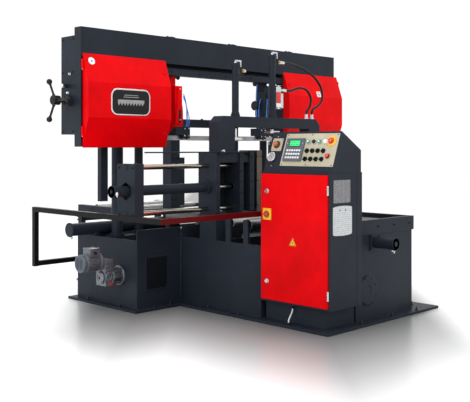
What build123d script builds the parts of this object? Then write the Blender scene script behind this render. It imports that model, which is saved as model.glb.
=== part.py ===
"""Horizontal twin-column band saw, millimetres, +Z up.

X runs along the saw bow, from the idler wheel on the left to the drive wheel
on the right.  Y runs from the operator's side to the infeed side.  The floor
is Z = 0, and the origin lies on it below the middle of the bow.
"""
import math
import os

from build123d import *

os.makedirs("parts", exist_ok=True)

# Clearances
SEAT_GAP = 0.3            # between faces that rest or slide on each other
BORE_GAP = 0.06           # radial running fit of a shaft in its bore

# Base
PLATE_T = 20.0
PLATE_MARGIN = 60.0       # plate beyond the pedestals
PEDESTAL_X = (683.0, 1156.0)
BASE_Y = (-75.0, 775.0)
TUB_X = (-670.0, 491.0)
TUB_FRONT = -1627.0
PLATE_FRONT = -1731.0
PLATE_FRONT_X = (-745.0, 733.0)
SHEET = 8.0               # tub and pedestal walls
PEDESTAL_TOP = 580.0
APRON_TOP = 667.0         # front wall of each pedestal
TUB_TOP = 672.0
ANCHOR_R = 11.0
ANCHOR_INSET = 35.0

# Table
BED_Z = 776.0             # top of the rollers and of the bed plates
BAND_TOP = 784.0
BAND_T = 39.0
ROLLER_R = 45.0
ROLLER_AXLE_R = 12.0
OUTFEED_ROLLER_Y = (-640.0, -840.0)

# Control cabinet
CABINET_X = (-683.0, -290.0)
CABINET_Y = (-1695.0, -1020.0)
CABINET_Z = (162.0, 1161.0)
CONSOLE_FOOT_X = -650.0
CONSOLE_APEX = (-536.0, 1467.0)
CONSOLE_BACK_Z = 1327.0
DOOR_T = 18.0
DOOR_Y = (-1686.0, -1040.0)
DOOR_Z = (182.0, 1145.0)
PANEL_T = 3.0
CABINET_SHEET = 4.0

# Saw bow
BOW_X = (-1611.0, 1610.0)
BOW_Y = (60.0, 148.0)
BEAM_Z = (2074.0, 2306.0)
HOUSING_BOTTOM = 1352.0
HOUSING_LEFT_X = (-1611.0, -736.0)
HOUSING_RIGHT_X = (790.0, 1660.0)
WALL = 10.0
BACK_T = 12.0
WHEEL_Z = 1721.0
WHEEL_R = 290.0
IDLER_X = -1165.0
DRIVE_X = 1215.0
WHEEL_Y = (75.0, 120.0)
BLADE_Y = 97.0
BLADE_W = 41.0
BLADE_T = 1.4
COVER_DEPTH = 80.0
COVER_Z = (1345.0, 2097.0)
COVER_FLAT_Z = (1584.0, 1866.0)
COVER_SHEET = 4.0
CHANNEL_Z = (1978.0, 2035.0)
RAIL_Z = (2090.0, 2170.0)
RAIL_DEPTH = 40.0
LEFT_GUIDE_X = (-620.0, -537.0)
RIGHT_GUIDE_X = (540.0, 623.0)
GUIDE_HEAD_Z = (1425.0, 1530.0)
BOW_TRAVEL = 600.0

# Columns and lift cylinders
COLUMN_X = (-765.0, 865.0)
LIFT_X = (-1000.0, 1010.0)
COLUMN_Y = 400.0
COLUMN_R = 38.0
COLUMN_TOP = 2040.0
LIFT_BARREL_R = 50.0
LIFT_ROD_R = 25.0
LIFT_BARREL_TOP = 1400.0

# Gantry and vice
GANTRY_Y = (-520.0, -400.0)
GANTRY_X = (-654.0, 655.0)
GANTRY_Z = (1518.0, 1609.0)
LEG_W = 187.0
VICE_Y = -412.0
VICE_Z = 1015.0
VICE_ROD_R = 20.0
VICE_ROD_PITCH = 179.0
VICE_TUBE_R = 40.0
PISTON_ROD_R = 18.0
VICE_PLATE_Y = (-520.0, -304.0)
CROSSHEAD_X = (-1528.0, -1440.0)
RIB_X = ((-685.0, -640.0), (-407.0, -363.0), (-286.0, -232.0))
RIB_Z = (807.0, 1310.0)
JAW_X = (-199.0, -136.0)
JAW_Z = (792.0, 1322.0)
FIXED_JAW_X = (414.0, 503.0)
CLAMP_Y = -460.0
CLAMP_X = (-403.0, 60.0)
CLAMP_TOP = (2062.0, 2169.0)
CLAMP_R = 30.0
CLAMP_ROD_R = 14.0

# Guard rail
GUARD_TUBE = 40.0
GUARD_X = -1669.0
GUARD_Y = (-1000.0, 635.0)
GUARD_Z = (378.0, 830.0)


def slab(x, y, z, mode=Mode.ADD):
    """A box given by its low and high value along each axis."""
    centre = [(low + high) / 2 for low, high in (x, y, z)]
    with Locations(tuple(centre)):
        Box(x[1] - x[0], y[1] - y[0], z[1] - z[0], mode=mode)


def rod(axis, at, span, radius, mode=Mode.ADD):
    """A cylinder along an axis, at its two other coordinates in axis order."""
    middle = (span[0] + span[1]) / 2
    place = {
        "X": Location((middle, at[0], at[1]), (0, 90, 0)),
        "Y": Location((at[0], middle, at[1]), (90, 0, 0)),
        "Z": Location((at[0], at[1], middle)),
    }[axis]
    with Locations(place):
        Cylinder(radius, abs(span[1] - span[0]), mode=mode)


def tub(x, y, z, wall):
    """An open-topped box of sheet."""
    slab(x, y, z)
    slab((x[0] + wall, x[1] - wall), (y[0] + wall, y[1] - wall),
         (z[0] + wall, z[1] + 1), mode=Mode.SUBTRACT)


def hollow(x, y, z, wall):
    """A closed box of sheet."""
    slab(x, y, z)
    slab((x[0] + wall, x[1] - wall), (y[0] + wall, y[1] - wall),
         (z[0] + wall, z[1] - wall), mode=Mode.SUBTRACT)


def keep(builder, name):
    """Label a finished piece and write its file."""
    builder.part.label = name
    export_step(builder.part, f"parts/{name}.step")


# ---------------------------------------------------------------- base
wide_x = PEDESTAL_X[1] + PLATE_MARGIN
wide_y = (BASE_Y[0] - PLATE_MARGIN, BASE_Y[1] + PLATE_MARGIN)
with BuildPart() as base_plate:
    slab((-wide_x, wide_x), wide_y, (0, PLATE_T))
    slab(PLATE_FRONT_X, (PLATE_FRONT, wide_y[0]), (0, PLATE_T))
    corners = [(side * (wide_x - ANCHOR_INSET), y)
               for side in (-1, 1)
               for y in (wide_y[0] + ANCHOR_INSET, wide_y[1] - ANCHOR_INSET)]
    corners += [(x, PLATE_FRONT + ANCHOR_INSET)
                for x in (PLATE_FRONT_X[0] + ANCHOR_INSET, PLATE_FRONT_X[1] - ANCHOR_INSET)]
    for corner in corners:
        rod("Z", corner, (0, PLATE_T), ANCHOR_R, mode=Mode.SUBTRACT)
keep(base_plate, "base_plate")

AUGER_Y, AUGER_Z, AUGER_R = 160.0, 276.0, 75.0
AUGER_SHAFT_R = 20.0
WINDOW_X, WINDOW_Z = (-1060.0, -840.0), (170.0, 430.0)


def pedestal(name, side):
    """Open pedestal with a solid foot that carries a column and a lift cylinder."""
    near, far = sorted((side * PEDESTAL_X[0], side * PEDESTAL_X[1]))
    column, lift = (COLUMN_X[0], LIFT_X[0]) if side < 0 else (COLUMN_X[1], LIFT_X[1])
    foot = sorted((column, lift))
    with BuildPart() as body:
        tub((near, far), BASE_Y, (PLATE_T, PEDESTAL_TOP), SHEET)
        slab((near, far), (BASE_Y[0], BASE_Y[0] + SHEET), (PEDESTAL_TOP - 1, APRON_TOP))
        slab((foot[0] - 70, foot[1] + 70), (COLUMN_Y - 75, COLUMN_Y + 75),
             (PLATE_T, PEDESTAL_TOP))
        rod("Z", (column, COLUMN_Y), (PEDESTAL_TOP - 120, PEDESTAL_TOP + 1),
            COLUMN_R + BORE_GAP, mode=Mode.SUBTRACT)
        if side < 0:
            rod("X", (AUGER_Y, AUGER_Z), (near - 1, near + SHEET + 1),
                AUGER_SHAFT_R + 1, mode=Mode.SUBTRACT)
            slab((WINDOW_X[0] - 12, WINDOW_X[1] + 12), (BASE_Y[0] - 6, BASE_Y[0]),
                 (WINDOW_Z[0] - 12, WINDOW_Z[1] + 12))
            slab(WINDOW_X, (BASE_Y[0] - 7, BASE_Y[0] + 1), WINDOW_Z, mode=Mode.SUBTRACT)
    keep(body, name)


pedestal("left_pedestal", -1)
pedestal("right_pedestal", 1)

with BuildPart() as centre_bed:
    tub((-PEDESTAL_X[0], PEDESTAL_X[0]), BASE_Y, (PLATE_T, PEDESTAL_TOP), SHEET)
    for y in ((30.0, 60.0), (500.0, 620.0)):
        slab((-PEDESTAL_X[0] + SHEET, PEDESTAL_X[0] - SHEET), y, (PEDESTAL_TOP - 60, PEDESTAL_TOP))
keep(centre_bed, "centre_bed")

BED_PLATE_T = 22.0
BED_X = (-430.0, 480.0)
BED_SLOT = 18.0           # each side of the blade
with BuildPart() as bed_table:
    for y in ((BASE_Y[0], BLADE_Y - BED_SLOT), (BLADE_Y + BED_SLOT, 470.0)):
        slab(BED_X, y, (BED_Z - BED_PLATE_T, BED_Z))
    for x in (BED_X[0] + 60, BED_X[1] - 60):
        slab((x - 20, x + 20), (30.0, 470.0), (BED_Z - BED_PLATE_T - 60, BED_Z - BED_PLATE_T))
        slab((x - 20, x + 20), (30.0, 60.0), (PEDESTAL_TOP, BED_Z - BED_PLATE_T - 60))
        slab((x - 20, x + 20), (455.0, 470.0), (PEDESTAL_TOP - 60, BED_Z - BED_PLATE_T - 60))
    slab((BED_X[0] + 40, BED_X[1] - 40), (455.0, 500.0), (PEDESTAL_TOP - 60, PEDESTAL_TOP))
keep(bed_table, "bed_table")

# The tub goes round the corner that the cabinet fills.
with BuildPart() as outfeed_tub:
    outline = [(TUB_X[0], BASE_Y[0]), (TUB_X[0], CABINET_Y[1] + 10), (CABINET_X[1] + 10, CABINET_Y[1] + 10),
               (CABINET_X[1] + 10, TUB_FRONT), (TUB_X[1], TUB_FRONT), (TUB_X[1], BASE_Y[0])]
    with BuildSketch(Plane.XY.offset(PLATE_T)):
        with BuildLine():
            Polyline(*outline, close=True)
        make_face()
    extrude(amount=TUB_TOP - PLATE_T)
    with BuildSketch(Plane.XY.offset(PLATE_T + SHEET)):
        with BuildLine():
            Polyline(*outline, close=True)
        make_face()
        offset(amount=-SHEET, kind=Kind.INTERSECTION, mode=Mode.REPLACE)
    extrude(amount=TUB_TOP, mode=Mode.SUBTRACT)
    slab((TUB_X[0] - 1, CABINET_X[1]), (CABINET_Y[1] + 9, BASE_Y[0] - 8),
         (PEDESTAL_TOP, TUB_TOP + 1), mode=Mode.SUBTRACT)
    slab((TUB_X[0] + SHEET, TUB_X[1] - SHEET), VICE_PLATE_Y, (PEDESTAL_TOP - 60, PEDESTAL_TOP))
    rod("Y", (-127.0, 241.0), (TUB_FRONT - 6, TUB_FRONT), 118.0)
    for y in OUTFEED_ROLLER_Y:
        slab((TUB_X[0], TUB_X[0] + 22), (y - 26, y + 26), (PEDESTAL_TOP - 2, BED_Z - 8))
        rod("X", (y, BED_Z - ROLLER_R), (TUB_X[0] + 6, TUB_X[0] + 23),
            ROLLER_AXLE_R + BORE_GAP, mode=Mode.SUBTRACT)
keep(outfeed_tub, "outfeed_tub")

with BuildPart() as table_frame:
    band_z = (TUB_TOP, BAND_TOP)
    front = TUB_FRONT - 12
    right = TUB_X[1] + 12
    slab((CABINET_X[1] + 1, right), (front, front + BAND_T), band_z)
    slab((right - BAND_T, right), (front, BASE_Y[0]), band_z)
    slab((CABINET_X[1] + 1, CABINET_X[1] + BAND_T), (front, CABINET_Y[1] + 18), band_z)
    slab((CABINET_X[1] + BAND_T, right - BAND_T), (front + BAND_T, -1150.0),
         (BED_Z - 40, BED_Z - 28))
    slab((CABINET_X[1] + 120, right - 170), (-1180.0, -1150.0), (BED_Z - 28, BAND_TOP + 26))
    for y in OUTFEED_ROLLER_Y:
        rod("X", (y, BED_Z - ROLLER_R), (right - BAND_T - 1, right - 20),
            ROLLER_AXLE_R + BORE_GAP, mode=Mode.SUBTRACT)
keep(table_frame, "table_frame")


def roller(name, y, ends):
    """Tube roller with its two axle ends."""
    with BuildPart() as body:
        rod("X", (y, BED_Z - ROLLER_R), (ends[0] + 16 + SEAT_GAP, ends[1] - 16 - SEAT_GAP), ROLLER_R)
        rod("X", (y, BED_Z - ROLLER_R), ends, ROLLER_AXLE_R)
    keep(body, name)


for number, roller_y in enumerate(OUTFEED_ROLLER_Y, 1):
    roller(f"outfeed_roller_{number}", roller_y, (TUB_X[0] + 8, TUB_X[1] + 12 - BAND_T + 12))

INFEED_X, INFEED_Y = (-560.0, 491.0), (BASE_Y[1], 1650.0)
INFEED_ROLLER_Y = (1000.0, 1400.0)
with BuildPart() as infeed_frame:
    for x in (INFEED_X[0], INFEED_X[1] - 50):
        slab((x, x + 50), INFEED_Y, (660.0, BED_Z - 12))
        for y, floor in ((INFEED_Y[0], PLATE_T), (INFEED_Y[1] - 60, 0)):
            slab((x, x + 50), (y, y + 60), (floor, 660))
            slab((x - 20, x + 70), (y, y + 60), (floor, floor + 12))
        for y in INFEED_ROLLER_Y:
            inner = x + 34 if x < 0 else x - 1
            rod("X", (y, BED_Z - ROLLER_R), (inner, inner + 17), ROLLER_AXLE_R + BORE_GAP,
                mode=Mode.SUBTRACT)
    for y in (INFEED_Y[0], INFEED_Y[1] - 60):
        slab(INFEED_X, (y, y + 60), (600, 660))
keep(infeed_frame, "infeed_frame")
for number, roller_y in enumerate(INFEED_ROLLER_Y, 1):
    roller(f"infeed_roller_{number}", roller_y, (INFEED_X[0] + 36, INFEED_X[1] - 36))

# ---------------------------------------------------------------- guard rail
with BuildPart() as guard_rail:
    half = GUARD_TUBE / 2
    top = (GUARD_Z[1] - half, GUARD_Z[1] + half)
    low = (GUARD_Z[0] - half, GUARD_Z[0] + half)
    post = (GUARD_X - half, GUARD_X + half)
    slab(post, (CABINET_Y[1], GUARD_Y[1] + half), top)
    slab((GUARD_X - half, -480.0 - 40), (CABINET_Y[1], CABINET_Y[1] + GUARD_TUBE), top)
    slab(post, (GUARD_Y[1] - half, GUARD_Y[1] + half), (low[0], top[1]))
    slab((GUARD_X - half, -PEDESTAL_X[1]), (GUARD_Y[1] - half, GUARD_Y[1] + half), low)
keep(guard_rail, "guard_rail")

# ---------------------------------------------------------------- chip auger drive
wall_x = -PEDESTAL_X[1]
MOTOR_AXIS = (AUGER_Y + 30, AUGER_Z + 128)
LANTERN = 110.0
with BuildPart() as auger_gearmotor:
    rod("X", (AUGER_Y, AUGER_Z), (wall_x - 12, wall_x), 82.0)
    rod("X", (AUGER_Y, AUGER_Z), (wall_x - LANTERN, wall_x - 12), 40.0)
    for turn in range(4):
        angle = math.radians(45 + 90 * turn)
        rod("X", (AUGER_Y + 64 * math.cos(angle), AUGER_Z + 64 * math.sin(angle)),
            (wall_x - LANTERN, wall_x - 12), 8.0)
    box_x = wall_x - LANTERN - 8
    rod("X", (AUGER_Y, AUGER_Z), (box_x, wall_x - LANTERN + 8), 76.0)
    slab((box_x - 72, box_x + 4), (AUGER_Y - 62, AUGER_Y + 66), (AUGER_Z - 66, AUGER_Z + 150))
    rod("X", (AUGER_Y, AUGER_Z), (box_x - 88, box_x - 72), 40.0)
    rod("X", MOTOR_AXIS, (box_x - 220, box_x - 72), 66.0)
    rod("X", MOTOR_AXIS, (box_x - 260, box_x - 220), 71.0)
    slab((box_x - 190, box_x - 100), (MOTOR_AXIS[0] - 50, MOTOR_AXIS[0] + 50),
         (MOTOR_AXIS[1] + 50, MOTOR_AXIS[1] + 112))
    rod("X", (AUGER_Y, AUGER_Z), (wall_x - 60, wall_x + 1), AUGER_SHAFT_R + BORE_GAP,
        mode=Mode.SUBTRACT)
keep(auger_gearmotor, "auger_gearmotor")

with BuildPart() as chip_auger:
    rod("X", (AUGER_Y, AUGER_Z), (wall_x - 58, -PEDESTAL_X[0] - 30), AUGER_SHAFT_R)
    for step in range(6):
        x = wall_x + 60 + step * 60
        with Locations(Location((x, AUGER_Y, AUGER_Z), (0, 90 + 14, 0))):
            Cylinder(AUGER_R, 6)
keep(chip_auger, "chip_auger")

# ---------------------------------------------------------------- cabinet
with BuildPart() as control_cabinet:
    hollow(CABINET_X, CABINET_Y, CABINET_Z, CABINET_SHEET)
    slab((CABINET_X[0] - 1, CABINET_X[0] + CABINET_SHEET + 1), (DOOR_Y[0] + 25, DOOR_Y[1] - 25),
         (DOOR_Z[0] + 25, DOOR_Z[1] - 25), mode=Mode.SUBTRACT)
    hollow((CABINET_X[0] + 40, CABINET_X[1] - 20), (CABINET_Y[0] + 60, CABINET_Y[1] - 20),
           (PLATE_T, CABINET_Z[0] + 1), CABINET_SHEET)
    slab((CABINET_X[1] - CABINET_SHEET - 30, CABINET_X[1] - CABINET_SHEET),
         (CABINET_Y[0] + 60, CABINET_Y[1] - 60), (CABINET_Z[0] + 80, CABINET_Z[1] - 80))
keep(control_cabinet, "control_cabinet")

with BuildPart() as control_console:
    for shrink, mode in ((0.0, Mode.ADD), (CABINET_SHEET, Mode.SUBTRACT)):
        with BuildSketch(Plane.XZ.offset(-CABINET_Y[0] - shrink)):
            with BuildLine():
                Polyline((CONSOLE_FOOT_X, CABINET_Z[1]), CONSOLE_APEX, (CABINET_X[1] - 13, CONSOLE_BACK_Z),
                         (CABINET_X[1] - 13, CABINET_Z[1]), close=True)
            make_face()
            offset(amount=-shrink, kind=Kind.INTERSECTION, mode=Mode.REPLACE)
        extrude(amount=-(CABINET_Y[1] - CABINET_Y[0] - 2 * shrink), mode=mode)
keep(control_console, "control_console")

slope = math.atan2(CONSOLE_APEX[0] - CONSOLE_FOOT_X, CONSOLE_APEX[1] - CABINET_Z[1])
panel_normal = Vector(-math.cos(slope), 0, math.sin(slope))
panel_up = Vector(math.sin(slope), 0, math.cos(slope))


def on_panel(y, z, lift=0.0):
    """Plane on the sloping panel, X towards -Y, Y up the slope, Z out of the panel."""
    along = (z - CABINET_Z[1]) / math.cos(slope)
    origin = Vector(CONSOLE_FOOT_X, y, CABINET_Z[1]) + panel_up * along + panel_normal * lift
    return Plane(origin=origin, x_dir=(0, -1, 0), z_dir=panel_normal)


DEVICE_Y = (-1412.0, -1464.0, -1516.0, -1568.0)
BUTTON_Z, SELECTOR_Z = 1387.0, (1320.0, 1259.0)
ESTOP_AT, SPEED_AT = (-1626.0, 1392.0), (-1620.0, 1281.0)
FEED_AT, GAUGE_AT = (-1095.0, 1367.0), (-1079.0, 1268.0)
DISPLAY_Y, DISPLAY_Z = (-1375.0, -1195.0), (1240.0, 1412.0)
DEVICE_R = 15.0
STEM_R = 8.0
button_places = [(y, BUTTON_Z) for y in DEVICE_Y[:3]]
moving_places = button_places + [ESTOP_AT, SPEED_AT, FEED_AT]

with BuildPart() as panel_plate:
    for y, z, width, height in ((-1430.0, 1328.0, 514.0, 262.0), (*FEED_AT, 104.0, 104.0)):
        with BuildSketch(on_panel(y, z)):
            RectangleRounded(width, height, 6)
        extrude(amount=PANEL_T)
    for y, z in moving_places:
        with BuildSketch(on_panel(y, z)):
            Circle(STEM_R + 0.5)
        extrude(amount=PANEL_T, mode=Mode.SUBTRACT)
    for y, z in moving_places:
        outer = 30.0 if (y, z) == ESTOP_AT else DEVICE_R + 2
        with BuildSketch(on_panel(y, z, PANEL_T)):
            Circle(outer)
            Circle(STEM_R + 0.5, mode=Mode.SUBTRACT)
        extrude(amount=3)
keep(panel_plate, "panel_plate")

with BuildPart() as display_unit:
    middle_y, middle_z = sum(DISPLAY_Y) / 2, sum(DISPLAY_Z) / 2
    with BuildSketch(on_panel(middle_y, middle_z, PANEL_T)):
        RectangleRounded(DISPLAY_Y[1] - DISPLAY_Y[0], (DISPLAY_Z[1] - DISPLAY_Z[0]) / math.cos(slope), 6)
    extrude(amount=10)
    for row in range(3):
        for column in range(6):
            y = middle_y - (column - 2.5) * 24
            with BuildSketch(on_panel(y, DISPLAY_Z[0] + 26 + row * 27, PANEL_T + 10)):
                RectangleRounded(17, 15, 3)
            extrude(amount=2.5)
keep(display_unit, "display_unit")

with BuildPart() as pressure_gauge:
    with BuildSketch(on_panel(*GAUGE_AT)):
        Circle(36)
    extrude(amount=22)
    with BuildSketch(on_panel(*GAUGE_AT, 17)):
        Circle(31)
    extrude(amount=6, mode=Mode.SUBTRACT)
keep(pressure_gauge, "pressure_gauge")

with BuildPart() as selector_switches:
    for z in SELECTOR_Z:
        for y in DEVICE_Y:
            with BuildSketch(on_panel(y, z, PANEL_T)):
                Circle(DEVICE_R + 1)
            extrude(amount=12)
            with BuildSketch(on_panel(y, z, PANEL_T + 12)):
                SlotOverall(2 * DEVICE_R, 9, rotation=65)
            extrude(amount=12)
keep(selector_switches, "selector_switches")


def panel_knob(name, at, radius, height, travel):
    """Button or knob head with a stem that ends above the console skin."""
    with BuildPart() as body:
        with BuildSketch(on_panel(*at, PANEL_T + 3 + travel)):
            Circle(radius)
        extrude(amount=height)
        chamfer(body.faces().sort_by(Axis(origin=(0, 0, 0), direction=panel_normal))[-1].edges(), 2)
        with BuildSketch(on_panel(*at, travel + SEAT_GAP)):
            Circle(STEM_R)
        extrude(amount=PANEL_T + 3)
    keep(body, name)


BUTTON_TRAVEL = 4.0
panel_knob("start_button", button_places[0], DEVICE_R, 9, BUTTON_TRAVEL)
panel_knob("stop_button", button_places[1], DEVICE_R, 9, BUTTON_TRAVEL)
panel_knob("coolant_button", button_places[2], DEVICE_R, 9, BUTTON_TRAVEL)
panel_knob("emergency_stop", ESTOP_AT, 21, 16, 6.0)
panel_knob("blade_speed_knob", SPEED_AT, 14, 18, SEAT_GAP)
panel_knob("feed_rate_knob", FEED_AT, 20, 26, SEAT_GAP)

LOCK_Y, LOCK_Z = -1101.0, (321.0, 1011.0)
SWITCH_AT, SWITCH_PLATE = (-1105.0, 836.0), 88.0
door_x = (CABINET_X[0] - SEAT_GAP - DOOR_T, CABINET_X[0] - SEAT_GAP)
HINGE_R = 7.0
DOOR_HINGE = (CABINET_X[0] - DOOR_T - 2, DOOR_Y[0] - 10)
with BuildPart() as cabinet_door:
    slab(door_x, DOOR_Y, DOOR_Z)
    slab((door_x[0] + 3, door_x[1] + 1), (DOOR_Y[0] + 3, DOOR_Y[1] - 3),
         (DOOR_Z[0] + 3, DOOR_Z[1] - 3), mode=Mode.SUBTRACT)
    slab((door_x[0] - 4, door_x[0]), (SWITCH_AT[0] - SWITCH_PLATE / 2, SWITCH_AT[0] + SWITCH_PLATE / 2),
         (SWITCH_AT[1] - SWITCH_PLATE / 2, SWITCH_AT[1] + SWITCH_PLATE / 2))
    for z in (276.0, 1035.0):
        rod("Z", DOOR_HINGE, (z - 28, z + 28), HINGE_R)
        slab((DOOR_HINGE[0] - 3, DOOR_HINGE[0] + 3), (DOOR_HINGE[1], DOOR_Y[0] + 2), (z - 28, z + 28))
    for z in LOCK_Z:
        rod("X", (LOCK_Y, z), (door_x[0] - 1, door_x[1] + 1), STEM_R + 0.5, mode=Mode.SUBTRACT)
    rod("X", SWITCH_AT, (door_x[0] - 5, door_x[1] + 1), STEM_R + 0.5, mode=Mode.SUBTRACT)
keep(cabinet_door, "cabinet_door")


def door_turn(name, at, head_x, radius, grip):
    """Turning part on the door: a head, a grip bar and a stem through the sheet."""
    with BuildPart() as body:
        rod("X", at, (head_x - 8, head_x), radius)
        slab((head_x - 8 - grip, head_x - 8), (at[0] - radius * 0.9, at[0] + radius * 0.9),
             (at[1] - 5, at[1] + 5))
        rod("X", at, (head_x, door_x[0] + 10), STEM_R)
    keep(body, name)


door_turn("main_switch", SWITCH_AT, door_x[0] - 4 - SEAT_GAP, 27.0, 18.0)
door_turn("upper_lock", (LOCK_Y, LOCK_Z[1]), door_x[0] - SEAT_GAP, 14.0, 5.0)
door_turn("lower_lock", (LOCK_Y, LOCK_Z[0]), door_x[0] - SEAT_GAP, 14.0, 5.0)

# ---------------------------------------------------------------- gantry
leg_x = (GANTRY_X[0], GANTRY_X[0] + LEG_W)
with BuildPart() as gantry:
    slab(GANTRY_X, GANTRY_Y, GANTRY_Z)
    slab(leg_x, GANTRY_Y, (RIB_Z[1] - 1, GANTRY_Z[1]))
    slab((FIXED_JAW_X[1], GANTRY_X[1]), GANTRY_Y, (PLATE_T, GANTRY_Z[1]))
    shoulder = gantry.edges().filter_by(Axis.Y).group_by(Axis.Z)[-1]
    chamfer(shoulder, 55)
    for rib in RIB_X:
        slab(rib, VICE_PLATE_Y, RIB_Z)
    slab((RIB_X[0][0], RIB_X[2][1]), (GANTRY_Y[0] + 14, VICE_PLATE_Y[1]), (VICE_Z + 205, RIB_Z[1]))
    slab((RIB_X[0][0], RIB_X[2][1]), (VICE_PLATE_Y[1] - 20, VICE_PLATE_Y[1]), RIB_Z)
    slab((TUB_X[0], TUB_X[0] + 120), (VICE_PLATE_Y[0] + 20, VICE_PLATE_Y[1]), (PEDESTAL_TOP, RIB_Z[0]))
    slab((RIB_X[1][0], RIB_X[1][1]), (VICE_PLATE_Y[0] + 20, VICE_PLATE_Y[1]), (PEDESTAL_TOP, RIB_Z[0]))
    for side in (-1, 1):
        rod("X", (VICE_Y, VICE_Z + side * VICE_ROD_PITCH), (RIB_X[0][0] - 1, RIB_X[2][1] + 1),
            VICE_ROD_R + BORE_GAP, mode=Mode.SUBTRACT)
    rod("X", (VICE_Y, VICE_Z), (RIB_X[0][0] - 1, RIB_X[0][1] + 1), PISTON_ROD_R + BORE_GAP,
        mode=Mode.SUBTRACT)
    rod("X", (VICE_Y, VICE_Z), (RIB_X[0][1], RIB_X[2][1] + 1), PISTON_ROD_R + 8, mode=Mode.SUBTRACT)
    slab((FIXED_JAW_X[1] + WALL, GANTRY_X[1] - WALL), (GANTRY_Y[0] + WALL, GANTRY_Y[1] - WALL),
         (PLATE_T + WALL, GANTRY_Z[0] - WALL), mode=Mode.SUBTRACT)
    slab((leg_x[0] + WALL, leg_x[1] - WALL), (GANTRY_Y[0] + WALL, GANTRY_Y[1] - WALL),
         (RIB_Z[1] + WALL, GANTRY_Z[0] - WALL), mode=Mode.SUBTRACT)
    for clamp_x in CLAMP_X:
        rod("Z", (clamp_x, CLAMP_Y), (GANTRY_Z[0] - 1, GANTRY_Z[1] + 1), CLAMP_ROD_R + BORE_GAP,
            mode=Mode.SUBTRACT)
    slab((FIXED_JAW_X[0], FIXED_JAW_X[0] + 40), VICE_PLATE_Y, (JAW_Z[0], 1200.0))
    for z in (820.0, 1100.0):
        slab((FIXED_JAW_X[0] + 40, FIXED_JAW_X[1]), GANTRY_Y, (z, z + 60))
keep(gantry, "gantry")

CLAMP_WALL = 8.0
with BuildPart() as clamp_cylinders:
    for clamp_x, clamp_top in zip(CLAMP_X, CLAMP_TOP):
        rod("Z", (clamp_x, CLAMP_Y), (GANTRY_Z[1], clamp_top), CLAMP_R)
        rod("Z", (clamp_x, CLAMP_Y), (GANTRY_Z[1], GANTRY_Z[1] + 14), CLAMP_R + 10)
        rod("Z", (clamp_x, CLAMP_Y), (GANTRY_Z[1] - 1, clamp_top - 30), CLAMP_R - CLAMP_WALL,
            mode=Mode.SUBTRACT)
keep(clamp_cylinders, "clamp_cylinders")


def clamp_ram(name, clamp_x, shoe_z, shoe):
    """Piston rod with its piston above and its pressing shoe below."""
    with BuildPart() as body:
        rod("Z", (clamp_x, CLAMP_Y), (shoe_z, GANTRY_Z[1] + 230), CLAMP_ROD_R)
        rod("Z", (clamp_x, CLAMP_Y), (GANTRY_Z[1] + 200, GANTRY_Z[1] + 230),
            CLAMP_R - CLAMP_WALL - BORE_GAP)
        slab((clamp_x - shoe, clamp_x + shoe), (CLAMP_Y - 38, CLAMP_Y + 38), (shoe_z - 20, shoe_z))
    keep(body, name)


clamp_ram("left_clamp_ram", CLAMP_X[0], 1430.0, 46.0)
clamp_ram("right_clamp_ram", CLAMP_X[1], 1492.0, 60.0)

FITTING_R = 6.0
VALVE_X = (CLAMP_X[1] + 34, CLAMP_X[1] + 96)
with BuildPart() as cylinder_fittings:
    for clamp_x, clamp_top in zip(CLAMP_X, CLAMP_TOP):
        rod("Z", (clamp_x, CLAMP_Y), (clamp_top, clamp_top + 22), FITTING_R)
        rod("X", (CLAMP_Y, clamp_top + 22), (clamp_x - FITTING_R, clamp_x + 70), FITTING_R)
        rod("Z", (clamp_x + 64, CLAMP_Y), (clamp_top - 30, clamp_top + 22), FITTING_R)
        rod("X", (CLAMP_Y, clamp_top - 60), (clamp_x + CLAMP_R, clamp_x + 120), 12.0)
        rod("X", (CLAMP_Y, clamp_top - 60), (clamp_x + 60, clamp_x + 96), 17.0)
        slab((clamp_x + CLAMP_R, clamp_x + 76), (CLAMP_Y - 14, CLAMP_Y + 14),
             (clamp_top - 110, clamp_top - 30))
    slab((CLAMP_X[1] + CLAMP_R, VALVE_X[1]), (CLAMP_Y - 22, CLAMP_Y + 22), (1690.0, 1900.0))
    rod("X", (CLAMP_Y, 1860.0), (VALVE_X[1], VALVE_X[1] + 50), 11.0)
    rod("Z", (VALVE_X[1] + 24, CLAMP_Y), (1700.0, 1830.0), 20.0)
    slab((VALVE_X[1], VALVE_X[1] + 24), (CLAMP_Y - 12, CLAMP_Y + 12), (1720.0, 1800.0))
keep(cylinder_fittings, "cylinder_fittings")


with BuildPart() as vice_cylinder:
    rod("X", (VICE_Y, VICE_Z), (-1650.0, RIB_X[0][0]), VICE_TUBE_R)
    rod("X", (VICE_Y, VICE_Z), (-1662.0, -1638.0), VICE_TUBE_R + 5)
    rod("X", (VICE_Y, VICE_Z), (RIB_X[0][0] - 20, RIB_X[0][0]), VICE_TUBE_R + 14)
    rod("Z", (-1646.0, VICE_Y), (VICE_Z + VICE_TUBE_R, VICE_Z + VICE_TUBE_R + 34), 9.0)
    rod("X", (VICE_Y, VICE_Z), (-1640.0, RIB_X[0][0] + 1), VICE_TUBE_R - 8, mode=Mode.SUBTRACT)
keep(vice_cylinder, "vice_cylinder")

with BuildPart() as vice_rods:
    for side in (-1, 1):
        rod("X", (VICE_Y, VICE_Z + side * VICE_ROD_PITCH), (CROSSHEAD_X[1], JAW_X[0]), VICE_ROD_R)
    rod("X", (VICE_Y, VICE_Z), (-1600.0, JAW_X[0]), PISTON_ROD_R)
    rod("X", (VICE_Y, VICE_Z), (-1600.0, -1570.0), VICE_TUBE_R - 8 - BORE_GAP)
keep(vice_rods, "vice_rods")

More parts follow.
